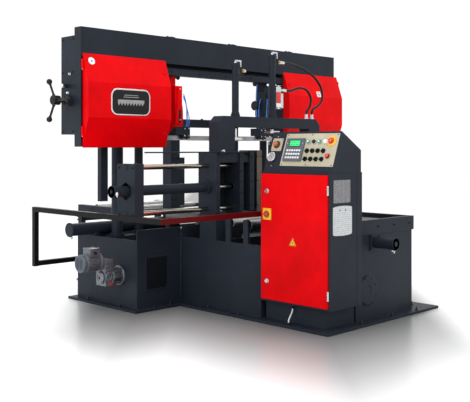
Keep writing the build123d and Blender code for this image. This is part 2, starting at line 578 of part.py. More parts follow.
with BuildPart() as vice_crosshead:
    slab(CROSSHEAD_X, VICE_PLATE_Y, (VICE_Z - 207, VICE_Z + 207))
    with BuildSketch(Plane.YZ.offset(CROSSHEAD_X[0])):
        with Locations((VICE_Y, VICE_Z)):
            RegularPolygon(70, 6, rotation=30)
    extrude(amount=CROSSHEAD_X[1] - CROSSHEAD_X[0], mode=Mode.SUBTRACT)
keep(vice_crosshead, "vice_crosshead")

with BuildPart() as vice_jaw:
    slab(JAW_X, VICE_PLATE_Y, JAW_Z)
keep(vice_jaw, "vice_jaw")

# ---------------------------------------------------------------- rear gantry
FEED_CYL_Y, FEED_CYL_Z, FEED_CYL_R = 560.0, 641.0, 54.0
REAR_Y = (500.0, 620.0)
REAR_X = ((-300.0, -190.0), (480.0, 600.0))
REAR_Z = (1540.0, 1616.0)
with BuildPart() as rear_gantry:
    for post_x in REAR_X:
        hollow(post_x, REAR_Y, (PEDESTAL_TOP, REAR_Z[1]), WALL)
    slab((REAR_X[0][0], REAR_X[1][1]), REAR_Y, REAR_Z)
    slab((REAR_X[0][1], REAR_X[0][1] + 60), REAR_Y, (BED_Z + 20, 1250.0))
    slab((REAR_X[1][0] - 60, REAR_X[1][0]), REAR_Y, (BED_Z + 20, 1250.0))
    rod("X", (FEED_CYL_Y, FEED_CYL_Z), (-1373.0, REAR_X[0][0]), FEED_CYL_R)
    rod("X", (FEED_CYL_Y, FEED_CYL_Z), (-1373.0, -1390.0), FEED_CYL_R + 6)
    slab((-1150.0, -1110.0), (FEED_CYL_Y - 45, FEED_CYL_Y + 45), (PEDESTAL_TOP, FEED_CYL_Z))
keep(rear_gantry, "rear_gantry")

SIDE_CYL = (-41.0, 609.0)
with BuildPart() as side_cylinder:
    rod("Y", SIDE_CYL, (TUB_FRONT - 205, TUB_FRONT), 45.0)
    slab((SIDE_CYL[0] - 60, SIDE_CYL[0] + 60), (TUB_FRONT - 12, TUB_FRONT), (SIDE_CYL[1] - 64, TUB_TOP - 2))
    rod("Z", (SIDE_CYL[0], TUB_FRONT - 185), (SIDE_CYL[1] - 62, SIDE_CYL[1] - 40), 7.0)
keep(side_cylinder, "side_cylinder")

# ---------------------------------------------------------------- columns and lift
with BuildPart() as columns:
    for column_x in COLUMN_X:
        rod("Z", (column_x, COLUMN_Y), (PEDESTAL_TOP - 119, COLUMN_TOP), COLUMN_R)
keep(columns, "columns")

LIFT_BORE_Z = LIFT_BARREL_TOP - BOW_TRAVEL - 90
with BuildPart() as lift_barrels:
    for lift_x in LIFT_X:
        rod("Z", (lift_x, COLUMN_Y), (PEDESTAL_TOP, LIFT_BARREL_TOP), LIFT_BARREL_R)
        rod("Z", (lift_x, COLUMN_Y), (PEDESTAL_TOP, PEDESTAL_TOP + 16), LIFT_BARREL_R + 14)
        rod("Z", (lift_x, COLUMN_Y), (LIFT_BORE_Z, LIFT_BARREL_TOP + 1), LIFT_ROD_R + BORE_GAP,
            mode=Mode.SUBTRACT)
keep(lift_barrels, "lift_barrels")

# ---------------------------------------------------------------- saw bow
TENSION_X, TENSION_Y, TENSION_Z = (-1611.0, -850.0), (BOW_Y[1], 336.0), (1451.0, 2242.0)
SCREW_Y, SCREW_R = 210.0, 18.0
SHAFT_R = 34.0
TENSION_TRAVEL = 12.0
LOWER_WINDOW, UPPER_WINDOW = 24.0, 18.0   # half heights: the blade turns below, and lies flat above
channel_y = (BOW_Y[0] + 4, BOW_Y[1])


def wheel_housing(x):
    """Open-fronted wheel housing below the beam, with windows for the blade."""
    slab(x, BOW_Y, (HOUSING_BOTTOM, BEAM_Z[0]))
    slab((x[0] + WALL, x[1] - WALL), (BOW_Y[0] - 1, BOW_Y[1] - BACK_T),
         (HOUSING_BOTTOM + WALL, BEAM_Z[0]), mode=Mode.SUBTRACT)
    inner = x[1] if x[0] < 0 else x[0]
    for z, half in ((WHEEL_Z - WHEEL_R, LOWER_WINDOW), (WHEEL_Z + WHEEL_R, UPPER_WINDOW)):
        slab((inner - WALL - 1, inner + WALL + 1), (BLADE_Y - 28, BLADE_Y + 28), (z - half, z + half),
             mode=Mode.SUBTRACT)


with BuildPart() as bow_frame:
    hollow(BOW_X, BOW_Y, BEAM_Z, WALL)
    wheel_housing(HOUSING_LEFT_X)
    wheel_housing(HOUSING_RIGHT_X)
    slab((IDLER_X - SHAFT_R - 8, IDLER_X + SHAFT_R + 8 + TENSION_TRAVEL),
         (BOW_Y[1] - BACK_T - 1, BOW_Y[1] + 1),
         (WHEEL_Z - SHAFT_R - 8, WHEEL_Z + SHAFT_R + 8), mode=Mode.SUBTRACT)
    rod("Y", (DRIVE_X, WHEEL_Z), (BOW_Y[1] - BACK_T - 1, BOW_Y[1] + 1), SHAFT_R + 6, mode=Mode.SUBTRACT)
    for lug_x in (-700.0, 60.0, 860.0):
        slab((lug_x, lug_x + 90), (BOW_Y[0] + 20, BOW_Y[1] - 20), (BEAM_Z[1], BEAM_Z[1] + 9))
    slab((HOUSING_LEFT_X[1] + 20, HOUSING_RIGHT_X[0] - 20), (BOW_Y[1], BOW_Y[1] + RAIL_DEPTH), RAIL_Z)
    slab((HOUSING_LEFT_X[1], HOUSING_RIGHT_X[0]), channel_y, CHANNEL_Z)
    slab((HOUSING_LEFT_X[1] - 1, HOUSING_RIGHT_X[0] + 1), (BLADE_Y - 26, BLADE_Y + 26),
         (WHEEL_Z + WHEEL_R - 14, WHEEL_Z + WHEEL_R + 14), mode=Mode.SUBTRACT)
keep(bow_frame, "bow_frame")


CARRIAGE_X = (IDLER_X - 125, IDLER_X + 125)
CARRIAGE_H = 100.0
with BuildPart() as tension_housing:
    hollow(TENSION_X, TENSION_Y, TENSION_Z, WALL)
    for side in (-1, 1):
        level = sorted((WHEEL_Z + side * (CARRIAGE_H + SEAT_GAP), WHEEL_Z + side * (CARRIAGE_H + 30)))
        slab((CARRIAGE_X[0] - 40, CARRIAGE_X[1] + 40), (TENSION_Y[0] + WALL, TENSION_Y[1] - WALL), level)
    slab((IDLER_X - SHAFT_R - 8, IDLER_X + SHAFT_R + 8 + TENSION_TRAVEL),
         (TENSION_Y[0] - 1, TENSION_Y[0] + WALL + 1),
         (WHEEL_Z - SHAFT_R - 8, WHEEL_Z + SHAFT_R + 8), mode=Mode.SUBTRACT)
    rod("X", (SCREW_Y, WHEEL_Z), (TENSION_X[0] - 34, TENSION_X[0] + WALL), 44.0)
    rod("X", (SCREW_Y + 30, WHEEL_Z + 120), (TENSION_X[0] - 40, TENSION_X[0]), 16.0)
    rod("X", (SCREW_Y, WHEEL_Z), (TENSION_X[0] - 35, TENSION_X[0] + WALL + 1), SCREW_R + BORE_GAP,
        mode=Mode.SUBTRACT)
    slab((-1258.0, -1188.0), (280.0, 330.0), (892.0, TENSION_Z[0]))
keep(tension_housing, "tension_housing")

with BuildPart() as tension_carriage:
    slab(CARRIAGE_X, (TENSION_Y[0] + WALL + SEAT_GAP, TENSION_Y[1] - WALL - SEAT_GAP),
         (WHEEL_Z - CARRIAGE_H, WHEEL_Z + CARRIAGE_H))
    rod("Y", (IDLER_X, WHEEL_Z), (WHEEL_Y[0], TENSION_Y[0] + WALL + 1), SHAFT_R)
    rod("X", (SCREW_Y, WHEEL_Z), (CARRIAGE_X[0] - 1, CARRIAGE_X[0] + 90), SCREW_R + BORE_GAP,
        mode=Mode.SUBTRACT)
keep(tension_carriage, "tension_carriage")

HUB_X = -1742.0
ARM_L = 150.0
with BuildPart() as tension_handwheel:
    rod("X", (SCREW_Y, WHEEL_Z), (HUB_X, CARRIAGE_X[0] + 60), SCREW_R)
    rod("X", (SCREW_Y, WHEEL_Z), (HUB_X - 30, HUB_X + 26), 38.0)
    for turn in range(3):
        spoke = 60 + 120 * turn
        direction = Vector(0, math.cos(math.radians(spoke)), math.sin(math.radians(spoke)))
        start = Vector(HUB_X - 6, SCREW_Y, WHEEL_Z)
        with BuildSketch(Plane(origin=start, x_dir=(1, 0, 0), z_dir=direction)):
            Circle(9)
        extrude(amount=ARM_L + 20)
        with Locations(start + direction * (ARM_L + 24)):
            Sphere(23)
keep(tension_handwheel, "tension_handwheel")


def band_wheel(name, x, driven):
    """Spoked band wheel; the driven one has its own shaft, the other a bore."""
    with BuildPart() as body:
        rod("Y", (x, WHEEL_Z), WHEEL_Y, WHEEL_R - SEAT_GAP)
        for face in ((WHEEL_Y[0] - 1, WHEEL_Y[0] + 14), (WHEEL_Y[1] - 14, WHEEL_Y[1] + 1)):
            rod("Y", (x, WHEEL_Z), face, WHEEL_R - 30, mode=Mode.SUBTRACT)
        rod("Y", (x, WHEEL_Z), (WHEEL_Y[0] + 1, WHEEL_Y[1]), 78.0)
        for turn in range(5):
            angle = math.radians(72 * turn)
            rod("Y", (x + 168 * math.cos(angle), WHEEL_Z + 168 * math.sin(angle)), WHEEL_Y, 62.0,
                mode=Mode.SUBTRACT)
        if driven:
            rod("Y", (x, WHEEL_Z), (WHEEL_Y[1] - 1, BOW_Y[1] + 60), SHAFT_R)
        else:
            rod("Y", (x, WHEEL_Z), (WHEEL_Y[0], WHEEL_Y[1] + 1), SHAFT_R + BORE_GAP, mode=Mode.SUBTRACT)
    keep(body, name)


band_wheel("idler_wheel", IDLER_X, False)
band_wheel("drive_wheel", DRIVE_X, True)

GEARBOX_X, GEARBOX_Y, GEARBOX_Z = (1095.0, 1390.0), (BOW_Y[1], 400.0), (1561.0, 1881.0)
with BuildPart() as drive_gearmotor:
    slab(GEARBOX_X, GEARBOX_Y, GEARBOX_Z)
    chamfer(drive_gearmotor.edges().filter_by(Axis.Y), 30)
    rod("Y", (DRIVE_X, WHEEL_Z), (BOW_Y[1] - 1, BOW_Y[1] + 62), SHAFT_R + BORE_GAP, mode=Mode.SUBTRACT)
    rod("Y", (1242.0, WHEEL_Z), (GEARBOX_Y[1], GEARBOX_Y[1] + 24), 130.0)
    rod("Y", (1242.0, WHEEL_Z), (GEARBOX_Y[1], GEARBOX_Y[1] + 300), 105.0)
    rod("Y", (1242.0, WHEEL_Z), (GEARBOX_Y[1] + 300, GEARBOX_Y[1] + 370), 110.0)
    slab((1182.0, 1302.0), (GEARBOX_Y[1] + 60, GEARBOX_Y[1] + 200), (WHEEL_Z + 80, WHEEL_Z + 155))
keep(drive_gearmotor, "drive_gearmotor")

SLEEVE_Z = (1470.0, 1960.0)
LIFT_BRACKET_Z = (LIFT_BARREL_TOP + BOW_TRAVEL + 30, LIFT_BARREL_TOP + BOW_TRAVEL + 110)
with BuildPart() as column_sleeves:
    for column_x in COLUMN_X:
        slab((column_x - 60, column_x + 60), (BOW_Y[1], COLUMN_Y), SLEEVE_Z)
        rod("Z", (column_x, COLUMN_Y), SLEEVE_Z, 62.0)
        rod("Z", (column_x, COLUMN_Y), (SLEEVE_Z[0] - 1, SLEEVE_Z[1] + 1), COLUMN_R + BORE_GAP,
            mode=Mode.SUBTRACT)
    for lift_x, back in zip(LIFT_X, (TENSION_Y[1], BOW_Y[1])):
        rod("Z", (lift_x, COLUMN_Y), (LIFT_BARREL_TOP - 60, LIFT_BRACKET_Z[1] + 20), LIFT_ROD_R)
        slab((lift_x - 55, lift_x + 55), (back, COLUMN_Y + 45), LIFT_BRACKET_Z)
keep(column_sleeves, "column_sleeves")


TWIST_STEPS = 6
FLAT_RUN = 70.0            # blade still flat past each wheel
with BuildPart() as saw_blade:
    left_flat, right_flat = IDLER_X + FLAT_RUN, DRIVE_X - FLAT_RUN
    left_end, right_end = LEFT_GUIDE_X[0] - 20, RIGHT_GUIDE_X[1] + 20
    runs = [(IDLER_X, 0)]
    runs += [(left_flat + (left_end - left_flat) * step / TWIST_STEPS, 90 * step / TWIST_STEPS)
             for step in range(TWIST_STEPS + 1)]
    runs += [(right_flat + (right_end - right_flat) * step / TWIST_STEPS, 90 * step / TWIST_STEPS)
             for step in range(TWIST_STEPS, -1, -1)]
    runs += [(DRIVE_X, 0)]
    for place_x, turn in runs:
        wide = (0, math.cos(math.radians(turn)), math.sin(math.radians(turn)))
        with BuildSketch(Plane(origin=(place_x, BLADE_Y, WHEEL_Z - WHEEL_R - BLADE_T / 2),
                               x_dir=wide, z_dir=(1, 0, 0))):
            Rectangle(BLADE_W, BLADE_T)
    loft(ruled=True)
    blade_y = (BLADE_Y - BLADE_W / 2, BLADE_Y + BLADE_W / 2)
    slab((IDLER_X, DRIVE_X), blade_y, (WHEEL_Z + WHEEL_R, WHEEL_Z + WHEEL_R + BLADE_T))
    for x, start in ((IDLER_X, 90), (DRIVE_X, -90)):
        with BuildSketch(Plane.XZ.offset(-blade_y[0])):
            with Locations((x, WHEEL_Z)):
                Circle(WHEEL_R + BLADE_T)
                Circle(WHEEL_R, mode=Mode.SUBTRACT)
            half_x = x + (WHEEL_R + 10) / 2 * (1 if x == IDLER_X else -1)
            with Locations((half_x, WHEEL_Z)):
                Rectangle(WHEEL_R + 10, 2 * WHEEL_R + 20, mode=Mode.SUBTRACT)
        extrude(amount=-BLADE_W)
keep(saw_blade, "saw_blade")

SLIT = 2.0


def guide_arm(name, x, inward):
    """Arm on the rail behind the beam, with a head that steers the blade."""
    head = (x[1], x[1] + 83) if inward > 0 else (x[0] - 83, x[0])
    arm_y = (BOW_Y[1] + 14, BOW_Y[1] + 40)
    back_y = BOW_Y[1] + RAIL_DEPTH + SEAT_GAP
    whole = (min(x[0], head[0]), max(x[1], head[1]))
    with BuildPart() as body:
        slab(x, (back_y, back_y + 26), (RAIL_Z[0] - 24, RAIL_Z[1] + 24))
        slab(x, (BOW_Y[1] + SEAT_GAP, back_y + 1), (RAIL_Z[1] + SEAT_GAP, RAIL_Z[1] + 24))
        slab(x, (arm_y[0], back_y + 1), (RAIL_Z[0] - 24, RAIL_Z[0] - SEAT_GAP))
        slab(x, arm_y, (GUIDE_HEAD_Z[0] + 30, RAIL_Z[0] - SEAT_GAP))
        slab(whole, (BLADE_Y - 38, arm_y[1]), (GUIDE_HEAD_Z[0] + 32, GUIDE_HEAD_Z[1]))
        slab(head, (BLADE_Y - 38, BLADE_Y + 38), GUIDE_HEAD_Z)
        slab((whole[0] - 1, whole[1] + 1), (BLADE_Y - SLIT, BLADE_Y + SLIT),
             (GUIDE_HEAD_Z[0] - 1, WHEEL_Z - WHEEL_R + BLADE_W / 2 + 2), mode=Mode.SUBTRACT)
        slab(x, (BLADE_Y - 26, arm_y[0]), (GUIDE_HEAD_Z[1], CHANNEL_Z[0] - 90))
    keep(body, name)


guide_arm("left_guide_arm", LEFT_GUIDE_X, 1)
guide_arm("right_guide_arm", RIGHT_GUIDE_X, -1)


def wheel_cover(name, x, hinge_x):
    """Folded sheet cover: a flat face between two sloping ones, with end walls."""
    front = BOW_Y[0] - SEAT_GAP
    outline = [(front, COVER_Z[0]), (front - COVER_DEPTH, COVER_FLAT_Z[0]),
               (front - COVER_DEPTH, COVER_FLAT_Z[1]), (front, COVER_Z[1])]
    inner = [(front + 1, COVER_Z[0] + 12), (front - COVER_DEPTH + COVER_SHEET, COVER_FLAT_Z[0] + 2),
             (front - COVER_DEPTH + COVER_SHEET, COVER_FLAT_Z[1] - 2), (front + 1, COVER_Z[1] - 12)]
    with BuildPart() as body:
        for points, ends, mode in ((outline, x, Mode.ADD),
                                   (inner, (x[0] + COVER_SHEET, x[1] - COVER_SHEET), Mode.SUBTRACT)):
            with BuildSketch(Plane.YZ.offset(ends[0])):
                with BuildLine():
                    Polyline(*points, close=True)
                make_face()
            extrude(amount=ends[1] - ends[0], mode=mode)
        for z in (COVER_Z[0] + 130, COVER_Z[1] - 90):
            edge = x[0] if hinge_x < x[0] else x[1]
            rod("Z", (hinge_x, front - 12), (z - 32, z + 32), 8.0)
            slab(sorted((hinge_x, edge)), (front - 15, front - 9), (z - 32, z + 32))
    keep(body, name)


COVER_LEFT_X, COVER_RIGHT_X = (-1594.0, -740.0), (794.0, 1650.0)
wheel_cover("left_cover", COVER_LEFT_X, COVER_LEFT_X[0] - 9)
wheel_cover("right_cover", COVER_RIGHT_X, COVER_RIGHT_X[1] + 9)


# ---------------------------------------------------------------- hoses and cable
def corner_radii(points):
    """Arc radius at each corner: 0.45 of the shorter run over tan of half the turn."""
    radii = []
    for before, corner, after in zip(points, points[1:], points[2:]):
        into, out = Vector(*corner) - Vector(*before), Vector(*after) - Vector(*corner)
        turn = into.get_angle(out)
        radii.append(0.45 * min(into.length, out.length) / math.tan(math.radians(turn / 2)))
    return radii


def cord(name, points, radius):
    """Round cord along straight runs joined by arcs."""
    radii = corner_radii(points)
    print(name, "radii", [round(value) for value in radii])
    with BuildPart() as body:
        with BuildLine() as path:
            FilletPolyline(*points, radius=radii)
        with BuildSketch(path.line ^ 0):
            Circle(radius)
        sweep()
    length = path.wire().length
    print(name, "length", round(length), "volume ratio",
          round(body.part.volume / (math.pi * radius ** 2 * length), 3))
    keep(body, name)


HOSE_R = 11.0
hose_start = (CLAMP_X[1] + 120, CLAMP_Y, CLAMP_TOP[1] - 60)
cord("upper_hose", [hose_start, (330, CLAMP_Y, CLAMP_TOP[1] - 60), (500, CLAMP_Y - 2, 2070),
                    (655, CLAMP_Y, 2010), (760, CLAMP_Y + 3, 1915), (775, CLAMP_Y, 1800),
                    (700, CLAMP_Y - 4, 1735), (612, CLAMP_Y, 1700), (612, CLAMP_Y, GANTRY_Z[1])], HOSE_R)
cord("lower_hose", [(VALVE_X[1] + 50, CLAMP_Y, 1860), (310, CLAMP_Y, 1860), (430, CLAMP_Y - 6, 1900),
                    (540, CLAMP_Y - 8, 1880), (600, CLAMP_Y - 6, 1800), (580, CLAMP_Y - 3, 1720),
                    (532, CLAMP_Y, 1680), (532, CLAMP_Y, GANTRY_Z[1])], HOSE_R)
CABLE_R = 6.0
cord("supply_cable", [(-664, -1330, CABINET_Z[0]), (-664, -1330, 118), (-692, -1332, 84),
                      (-714, -1333, 56), (-714, -1333, PLATE_T)], CABLE_R)
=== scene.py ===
"""Looks of a twin-column horizontal band saw, in metres, +Z up, around its CAD frame."""
import math

import bmesh
import bpy
from mathutils import Matrix, Vector


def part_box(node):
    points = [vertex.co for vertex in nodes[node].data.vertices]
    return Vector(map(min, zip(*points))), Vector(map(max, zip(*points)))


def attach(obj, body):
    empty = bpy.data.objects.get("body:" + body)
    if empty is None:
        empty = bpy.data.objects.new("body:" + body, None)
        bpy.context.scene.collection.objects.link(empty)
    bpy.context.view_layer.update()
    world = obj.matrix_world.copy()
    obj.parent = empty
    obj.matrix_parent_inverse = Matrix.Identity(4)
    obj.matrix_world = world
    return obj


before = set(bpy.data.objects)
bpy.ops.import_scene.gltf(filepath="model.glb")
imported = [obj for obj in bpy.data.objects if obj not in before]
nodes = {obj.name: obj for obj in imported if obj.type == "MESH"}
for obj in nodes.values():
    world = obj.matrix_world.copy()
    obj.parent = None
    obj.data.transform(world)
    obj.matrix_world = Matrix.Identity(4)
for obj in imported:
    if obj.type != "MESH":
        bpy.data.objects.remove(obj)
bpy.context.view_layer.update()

UP, LEFT, RIGHT = Vector((0, 0, 1)), Vector((-1, 0, 0)), Vector((1, 0, 0))
FRONT, BACK, DOWN = Vector((0, -1, 0)), Vector((0, 1, 0)), Vector((0, 0, -1))


# ------------------------------------------------------------------ finishes
class Wire:
    """One socket of a finish; arithmetic on it adds Math nodes."""

    def __init__(self, finish, socket):
        self.finish = finish
        self.socket = socket

    def maths(self, operation, *values):
        return self.finish.node("ShaderNodeMath", {"operation": operation}, *values)

    def __add__(self, other):
        return self.maths("ADD", self, other)

    def __sub__(self, other):
        return self.maths("SUBTRACT", self, other)

    def __rsub__(self, other):
        return self.maths("SUBTRACT", other, self)

    def __mul__(self, other):
        return self.maths("MULTIPLY", self, other)

    __radd__ = __add__
    __rmul__ = __mul__

    def step(self, edge):
        return self.maths("GREATER_THAN", self, edge)


class Finish:
    """A material being made: a principled shader and one method for any other node."""

    def __init__(self, name, colour, roughness, metallic=0.0, **constants):
        self.material = bpy.data.materials.new(name)
        self.material.use_nodes = True
        self.tree = self.material.node_tree
        self.tree.nodes.clear()
        self.shader = self.tree.nodes.new("ShaderNodeBsdfPrincipled")
        output = self.tree.nodes.new("ShaderNodeOutputMaterial")
        self.tree.links.new(self.shader.outputs["BSDF"], output.inputs["Surface"])
        self.set("Base Color", colour)
        self.set("Roughness", roughness)
        self.set("Metallic", metallic)
        for socket, value in constants.items():
            self.set(socket.replace("_", " "), value)
        self.material.diffuse_color = (*colour[:3], 1)

    def node(self, kind, settings, *values, out=0):
        """Add a node: its settings first, then values or wires for its inputs in order."""
        node = self.tree.nodes.new(kind)
        for key, value in settings.items():
            if key == "stops":
                self.ramp(node, value)
            elif key == "inputs":
                for socket, fed in value.items():
                    self.feed(node.inputs[socket], fed)
            else:
                setattr(node, key, value)
        for index, value in enumerate(values):
            self.feed(node.inputs[index], value)
        return Wire(self, node.outputs[out])

    def ramp(self, node, stops):
        elements = node.color_ramp.elements
        while len(elements) < len(stops):
            elements.new(0.5)
        for element, (place, value) in zip(elements, stops):
            element.position = place
            element.color = (*[value] * 3, 1) if isinstance(value, float) else (*value, 1)

    def feed(self, socket, value):
        if isinstance(value, Wire):
            self.tree.links.new(value.socket, socket)
        elif isinstance(value, tuple) and len(value) == 3 and socket.type == "RGBA":
            socket.default_value = (*value, 1)
        else:
            socket.default_value = value

    def set(self, name, value):
        self.feed(self.shader.inputs[name], value)

    def place(self, scale=(1, 1, 1)):
        """Object coordinates, stretched along the axes."""
        here = self.node("ShaderNodeTexCoord", {}, out="Object")
        return self.node("ShaderNodeVectorMath", {"operation": "MULTIPLY"}, here, scale)

    def noise(self, at, scale, detail=3.0, roughness=0.5):
        inputs = {"Vector": at, "Scale": scale, "Detail": detail, "Roughness": roughness}
        return self.node("ShaderNodeTexNoise", {"inputs": inputs})

    def spread(self, wire, low, high):
        """Map 0.3 to 0.7, where most noise lies, onto low to high."""
        return self.node("ShaderNodeMapRange", {}, wire, 0.3, 0.7, low, high)

    def mix(self, share, first, second):
        sockets = {0: share, 6: first, 7: second}
        return self.node("ShaderNodeMix", {"data_type": "RGBA", "inputs": sockets}, out=2)

    def rounded(self, radius):
        """Shading normal with rounded edges, and a mask that is 1 on those edges."""
        soft = self.node("ShaderNodeBevel", {"samples": 4}, radius)
        flat = self.node("ShaderNodeNewGeometry", {}, out="Normal")
        same = self.node("ShaderNodeVectorMath", {"operation": "DOT_PRODUCT"}, soft, flat, out="Value")
        edge = self.node("ShaderNodeMapRange", {}, 1 - same, 0.01, 0.16, 0.0, 1.0)
        return soft, edge

    def bump(self, height, depth, under=None):
        inputs = {"Strength": 1.0, "Distance": depth, "Height": height}
        if under is not None:
            inputs["Normal"] = under
        self.set("Normal", self.node("ShaderNodeBump", {"inputs": inputs}))


def painted(name, colour, worn, gloss, coat, specular=0.5):
    """Powder coat: faint clouding, orange peel, dust in the pores and rubbed edges."""
    finish = Finish(name, colour, gloss, Coat_Roughness=0.12, Specular_IOR_Level=specular)
    finish.set("Coat Weight", coat)
    at = finish.place()
    cloud = finish.noise(at, 2.3, 4.0, 0.6)
    peel = finish.noise(at, 420.0, 1.0)
    scuff = finish.noise(finish.place((1, 1, 0.35)), 34.0, 6.0, 0.7)
    soft, edge = finish.rounded(0.004)
    dull = tuple(0.80 * part for part in colour)
    bright = tuple(min(1.0, 1.16 * part) for part in colour)
    base = finish.mix(finish.spread(cloud, 0.0, 1.0), dull, bright)
    rub = finish.node("ShaderNodeMapRange", {}, edge * scuff, 0.34, 0.62, 0.0, 0.75)
    finish.set("Base Color", finish.mix(rub, base, worn))
    finish.set("Roughness", finish.spread(scuff, gloss - 0.05, gloss + 0.07))
    finish.bump(peel + cloud * 0.3, 0.00012, soft)
    return finish.material


def turned_metal(name, colour, gloss, grain, metallic=1.0, edge_tone=1.2):
    """Machined or drawn metal, with grain stretched along one axis."""
    finish = Finish(name, colour, gloss, metallic)
    lines = finish.noise(finish.place(grain), 260.0, 3.0, 0.7)
    stain = finish.noise(finish.place(), 9.0, 5.0, 0.65)
    soft, edge = finish.rounded(0.0025)
    dull = tuple(0.72 * part for part in colour)
    base = finish.mix(finish.spread(stain, 0.0, 1.0), colour, dull)
    bright = tuple(min(1.0, edge_tone * part) for part in colour)
    finish.set("Base Color", finish.mix(edge, base, bright))
    finish.set("Roughness", finish.spread(lines * 0.6 + stain * 0.4, gloss - 0.08, gloss + 0.12))
    finish.bump(lines, 0.00006, soft)
    return finish.material


def cast_metal(name, colour, gloss, grain, metallic):
    """Sand-cast or blasted metal with a pebbled skin."""
    finish = Finish(name, colour, gloss, metallic)
    at = finish.place()
    skin = finish.noise(at, 650.0, 2.0, 0.6)
    blotch = finish.noise(at, 18.0, 5.0, 0.7)
    soft, edge = finish.rounded(0.003)
    dark = tuple(0.55 * part for part in colour)
    base = finish.mix(finish.spread(blotch, 0.0, 1.0), dark, colour)
    finish.set("Base Color", finish.mix(edge * 0.6, base, tuple(min(1.0, 1.5 * part) for part in colour)))
    finish.set("Roughness", finish.spread(blotch, gloss + 0.1, gloss - 0.08))
    finish.bump(skin, grain, soft)
    return finish.material


def moulded(name, colour, gloss, texture=0.00004, **constants):
    """Moulded plastic or rubber with a fine even texture and slightly dusty hollows."""
    finish = Finish(name, colour, gloss, **constants)
    at = finish.place()
    fine = finish.noise(at, 900.0, 2.0)
    dust = finish.noise(at, 40.0, 4.0, 0.6)
    soft = finish.rounded(0.0012)[0]
    pale = tuple(min(1.0, 1.15 * part + 0.002) for part in colour)
    finish.set("Base Color", finish.mix(finish.spread(dust, 0.0, 0.8), colour, pale))
    finish.set("Roughness", finish.spread(dust, gloss - 0.04, gloss + 0.08))
    finish.bump(fine, texture, soft)
    return finish.material


def glowing(name, colour, strength):
    """Back-lit display glass with a faint grid of cells."""
    finish = Finish(name, colour, 0.2, Emission_Strength=strength)
    at = finish.place()
    cells = finish.noise(at, 220.0, 2.0)
    bright = tuple(min(1.0, 1.3 * part) for part in colour)
    lit = finish.mix(finish.spread(cells, 0.0, 1.0), colour, bright)
    finish.set("Base Color", lit)
    finish.set("Emission Color", lit)
    finish.bump(cells, 0.00002)
    return finish.material


def printed_lines(name, ground, ink, pitch, axis, share):
    """Plain plate with rows of short bars in place of any lettering."""
    finish = Finish(name, ground, 0.38, Specular_IOR_Level=0.4)
    here = finish.node("ShaderNodeTexCoord", {}, out="Object")
    split = {letter: finish.node("ShaderNodeSeparateXYZ", {}, here, out=letter) for letter in ("X", "Z")}
    along = split[axis]
    row = finish.node("ShaderNodeMath", {"operation": "FRACT"}, split["Z"] * (1 / pitch))
    words = finish.noise(finish.place((1, 1, 1 / pitch / 60)), 60.0, 2.0)
    cut = finish.node("ShaderNodeMath", {"operation": "FRACT"}, along * 23.0)
    mask = row.step(1 - share) * words.step(0.45) * cut.step(0.12)
    wear = finish.noise(finish.place(), 30.0, 4.0)
    aged = finish.mix(finish.spread(wear, 0.0, 0.35), ground, tuple(0.8 * part for part in ground))
    finish.set("Base Color", finish.mix(mask * 0.8, aged, ink))
    finish.set("Roughness", finish.spread(wear, 0.32, 0.5))
    finish.bump(mask, -0.00005)
    return finish.material


DARK = painted("dark_paint", (0.0164, 0.0210, 0.0305), (0.047, 0.055, 0.068), 0.46, 0.0, 0.13)
RED = painted("red_paint", (0.755, 0.0002, 0.0026), (0.50, 0.003, 0.006), 0.40, 0.0, 0.06)
BLACK = painted("black_paint", (0.0035, 0.0037, 0.0045), (0.03, 0.03, 0.032), 0.42, 0.0, 0.12)
RAIL_RED = painted("rail_paint", (0.085, 0.0008, 0.0020), (0.14, 0.01, 0.01), 0.45, 0.0, 0.12)
PANEL = painted("panel_paint", (0.440, 0.400, 0.290), (0.5, 0.47, 0.36), 0.42, 0.0, 0.4)
# Near-black paint of the covers' and the door's inner faces, also used as painted shade in the gap under
# the beam and on the chip window.
INNER_AND_SHADE = painted("inner_paint_and_shade", (0.0065, 0.0075, 0.0100), (0.02, 0.022, 0.026), 0.6, 0.0, 0.10)
STEEL = turned_metal("machined_steel", (0.42, 0.42, 0.41), 0.34, (0.05, 1, 1))
BED_STEEL = turned_metal("bed_steel", (0.30, 0.31, 0.31), 0.42, (1, 0.06, 1))
ROD_STEEL = turned_metal("ground_rod", (0.60, 0.54, 0.47), 0.15, (0.03, 1, 1))
BLADE = turned_metal("blade_steel", (0.36, 0.36, 0.37), 0.33, (0.02, 1, 1))
JAW = turned_metal("jaw_steel", (0.135, 0.115, 0.095), 0.46, (1, 0.1, 0.1))
CHROME = turned_metal("chrome", (0.74, 0.74, 0.75), 0.20, (1, 1, 1))
BRASS = turned_metal("brass", (0.62, 0.46, 0.17), 0.26, (1, 1, 0.2))
ZINC = turned_metal("zinc_bolt", (0.35, 0.35, 0.36), 0.38, (1, 1, 1))
DARK_BOLT = turned_metal("black_oxide", (0.045, 0.045, 0.05), 0.42, (1, 1, 1))
CAST = cast_metal("cast_aluminium", (0.235, 0.250, 0.285), 0.38, 0.00035, 0.70)
IRON = cast_metal("cast_iron", (0.09, 0.09, 0.092), 0.55, 0.0004, 0.5)
RUBBER = moulded("hose_rubber", (0.0045, 0.0045, 0.0050), 0.38, 0.0001, Specular_IOR_Level=0.22)
CABLE = moulded("cable_grey", (0.55, 0.57, 0.60), 0.45)
BLUE_TUBE = moulded("coolant_tube", (0.045, 0.20, 0.62), 0.22, 0.00002, Specular_IOR_Level=0.3)
BLACK_PLASTIC = moulded("black_plastic", (0.0050, 0.0052, 0.0060), 0.36, Specular_IOR_Level=0.25)
GREY_PLASTIC = moulded("grey_plastic", (0.075, 0.090, 0.115), 0.45)
WHITE_PLASTIC = moulded("white_plastic", (0.78, 0.78, 0.76), 0.35)
LAMP = moulded("lamp_lens", (0.92, 0.92, 0.90), 0.15, Coat_Weight=0.5)
RED_PLASTIC = moulded("red_plastic", (0.62, 0.012, 0.014), 0.25, Coat_Weight=0.3)
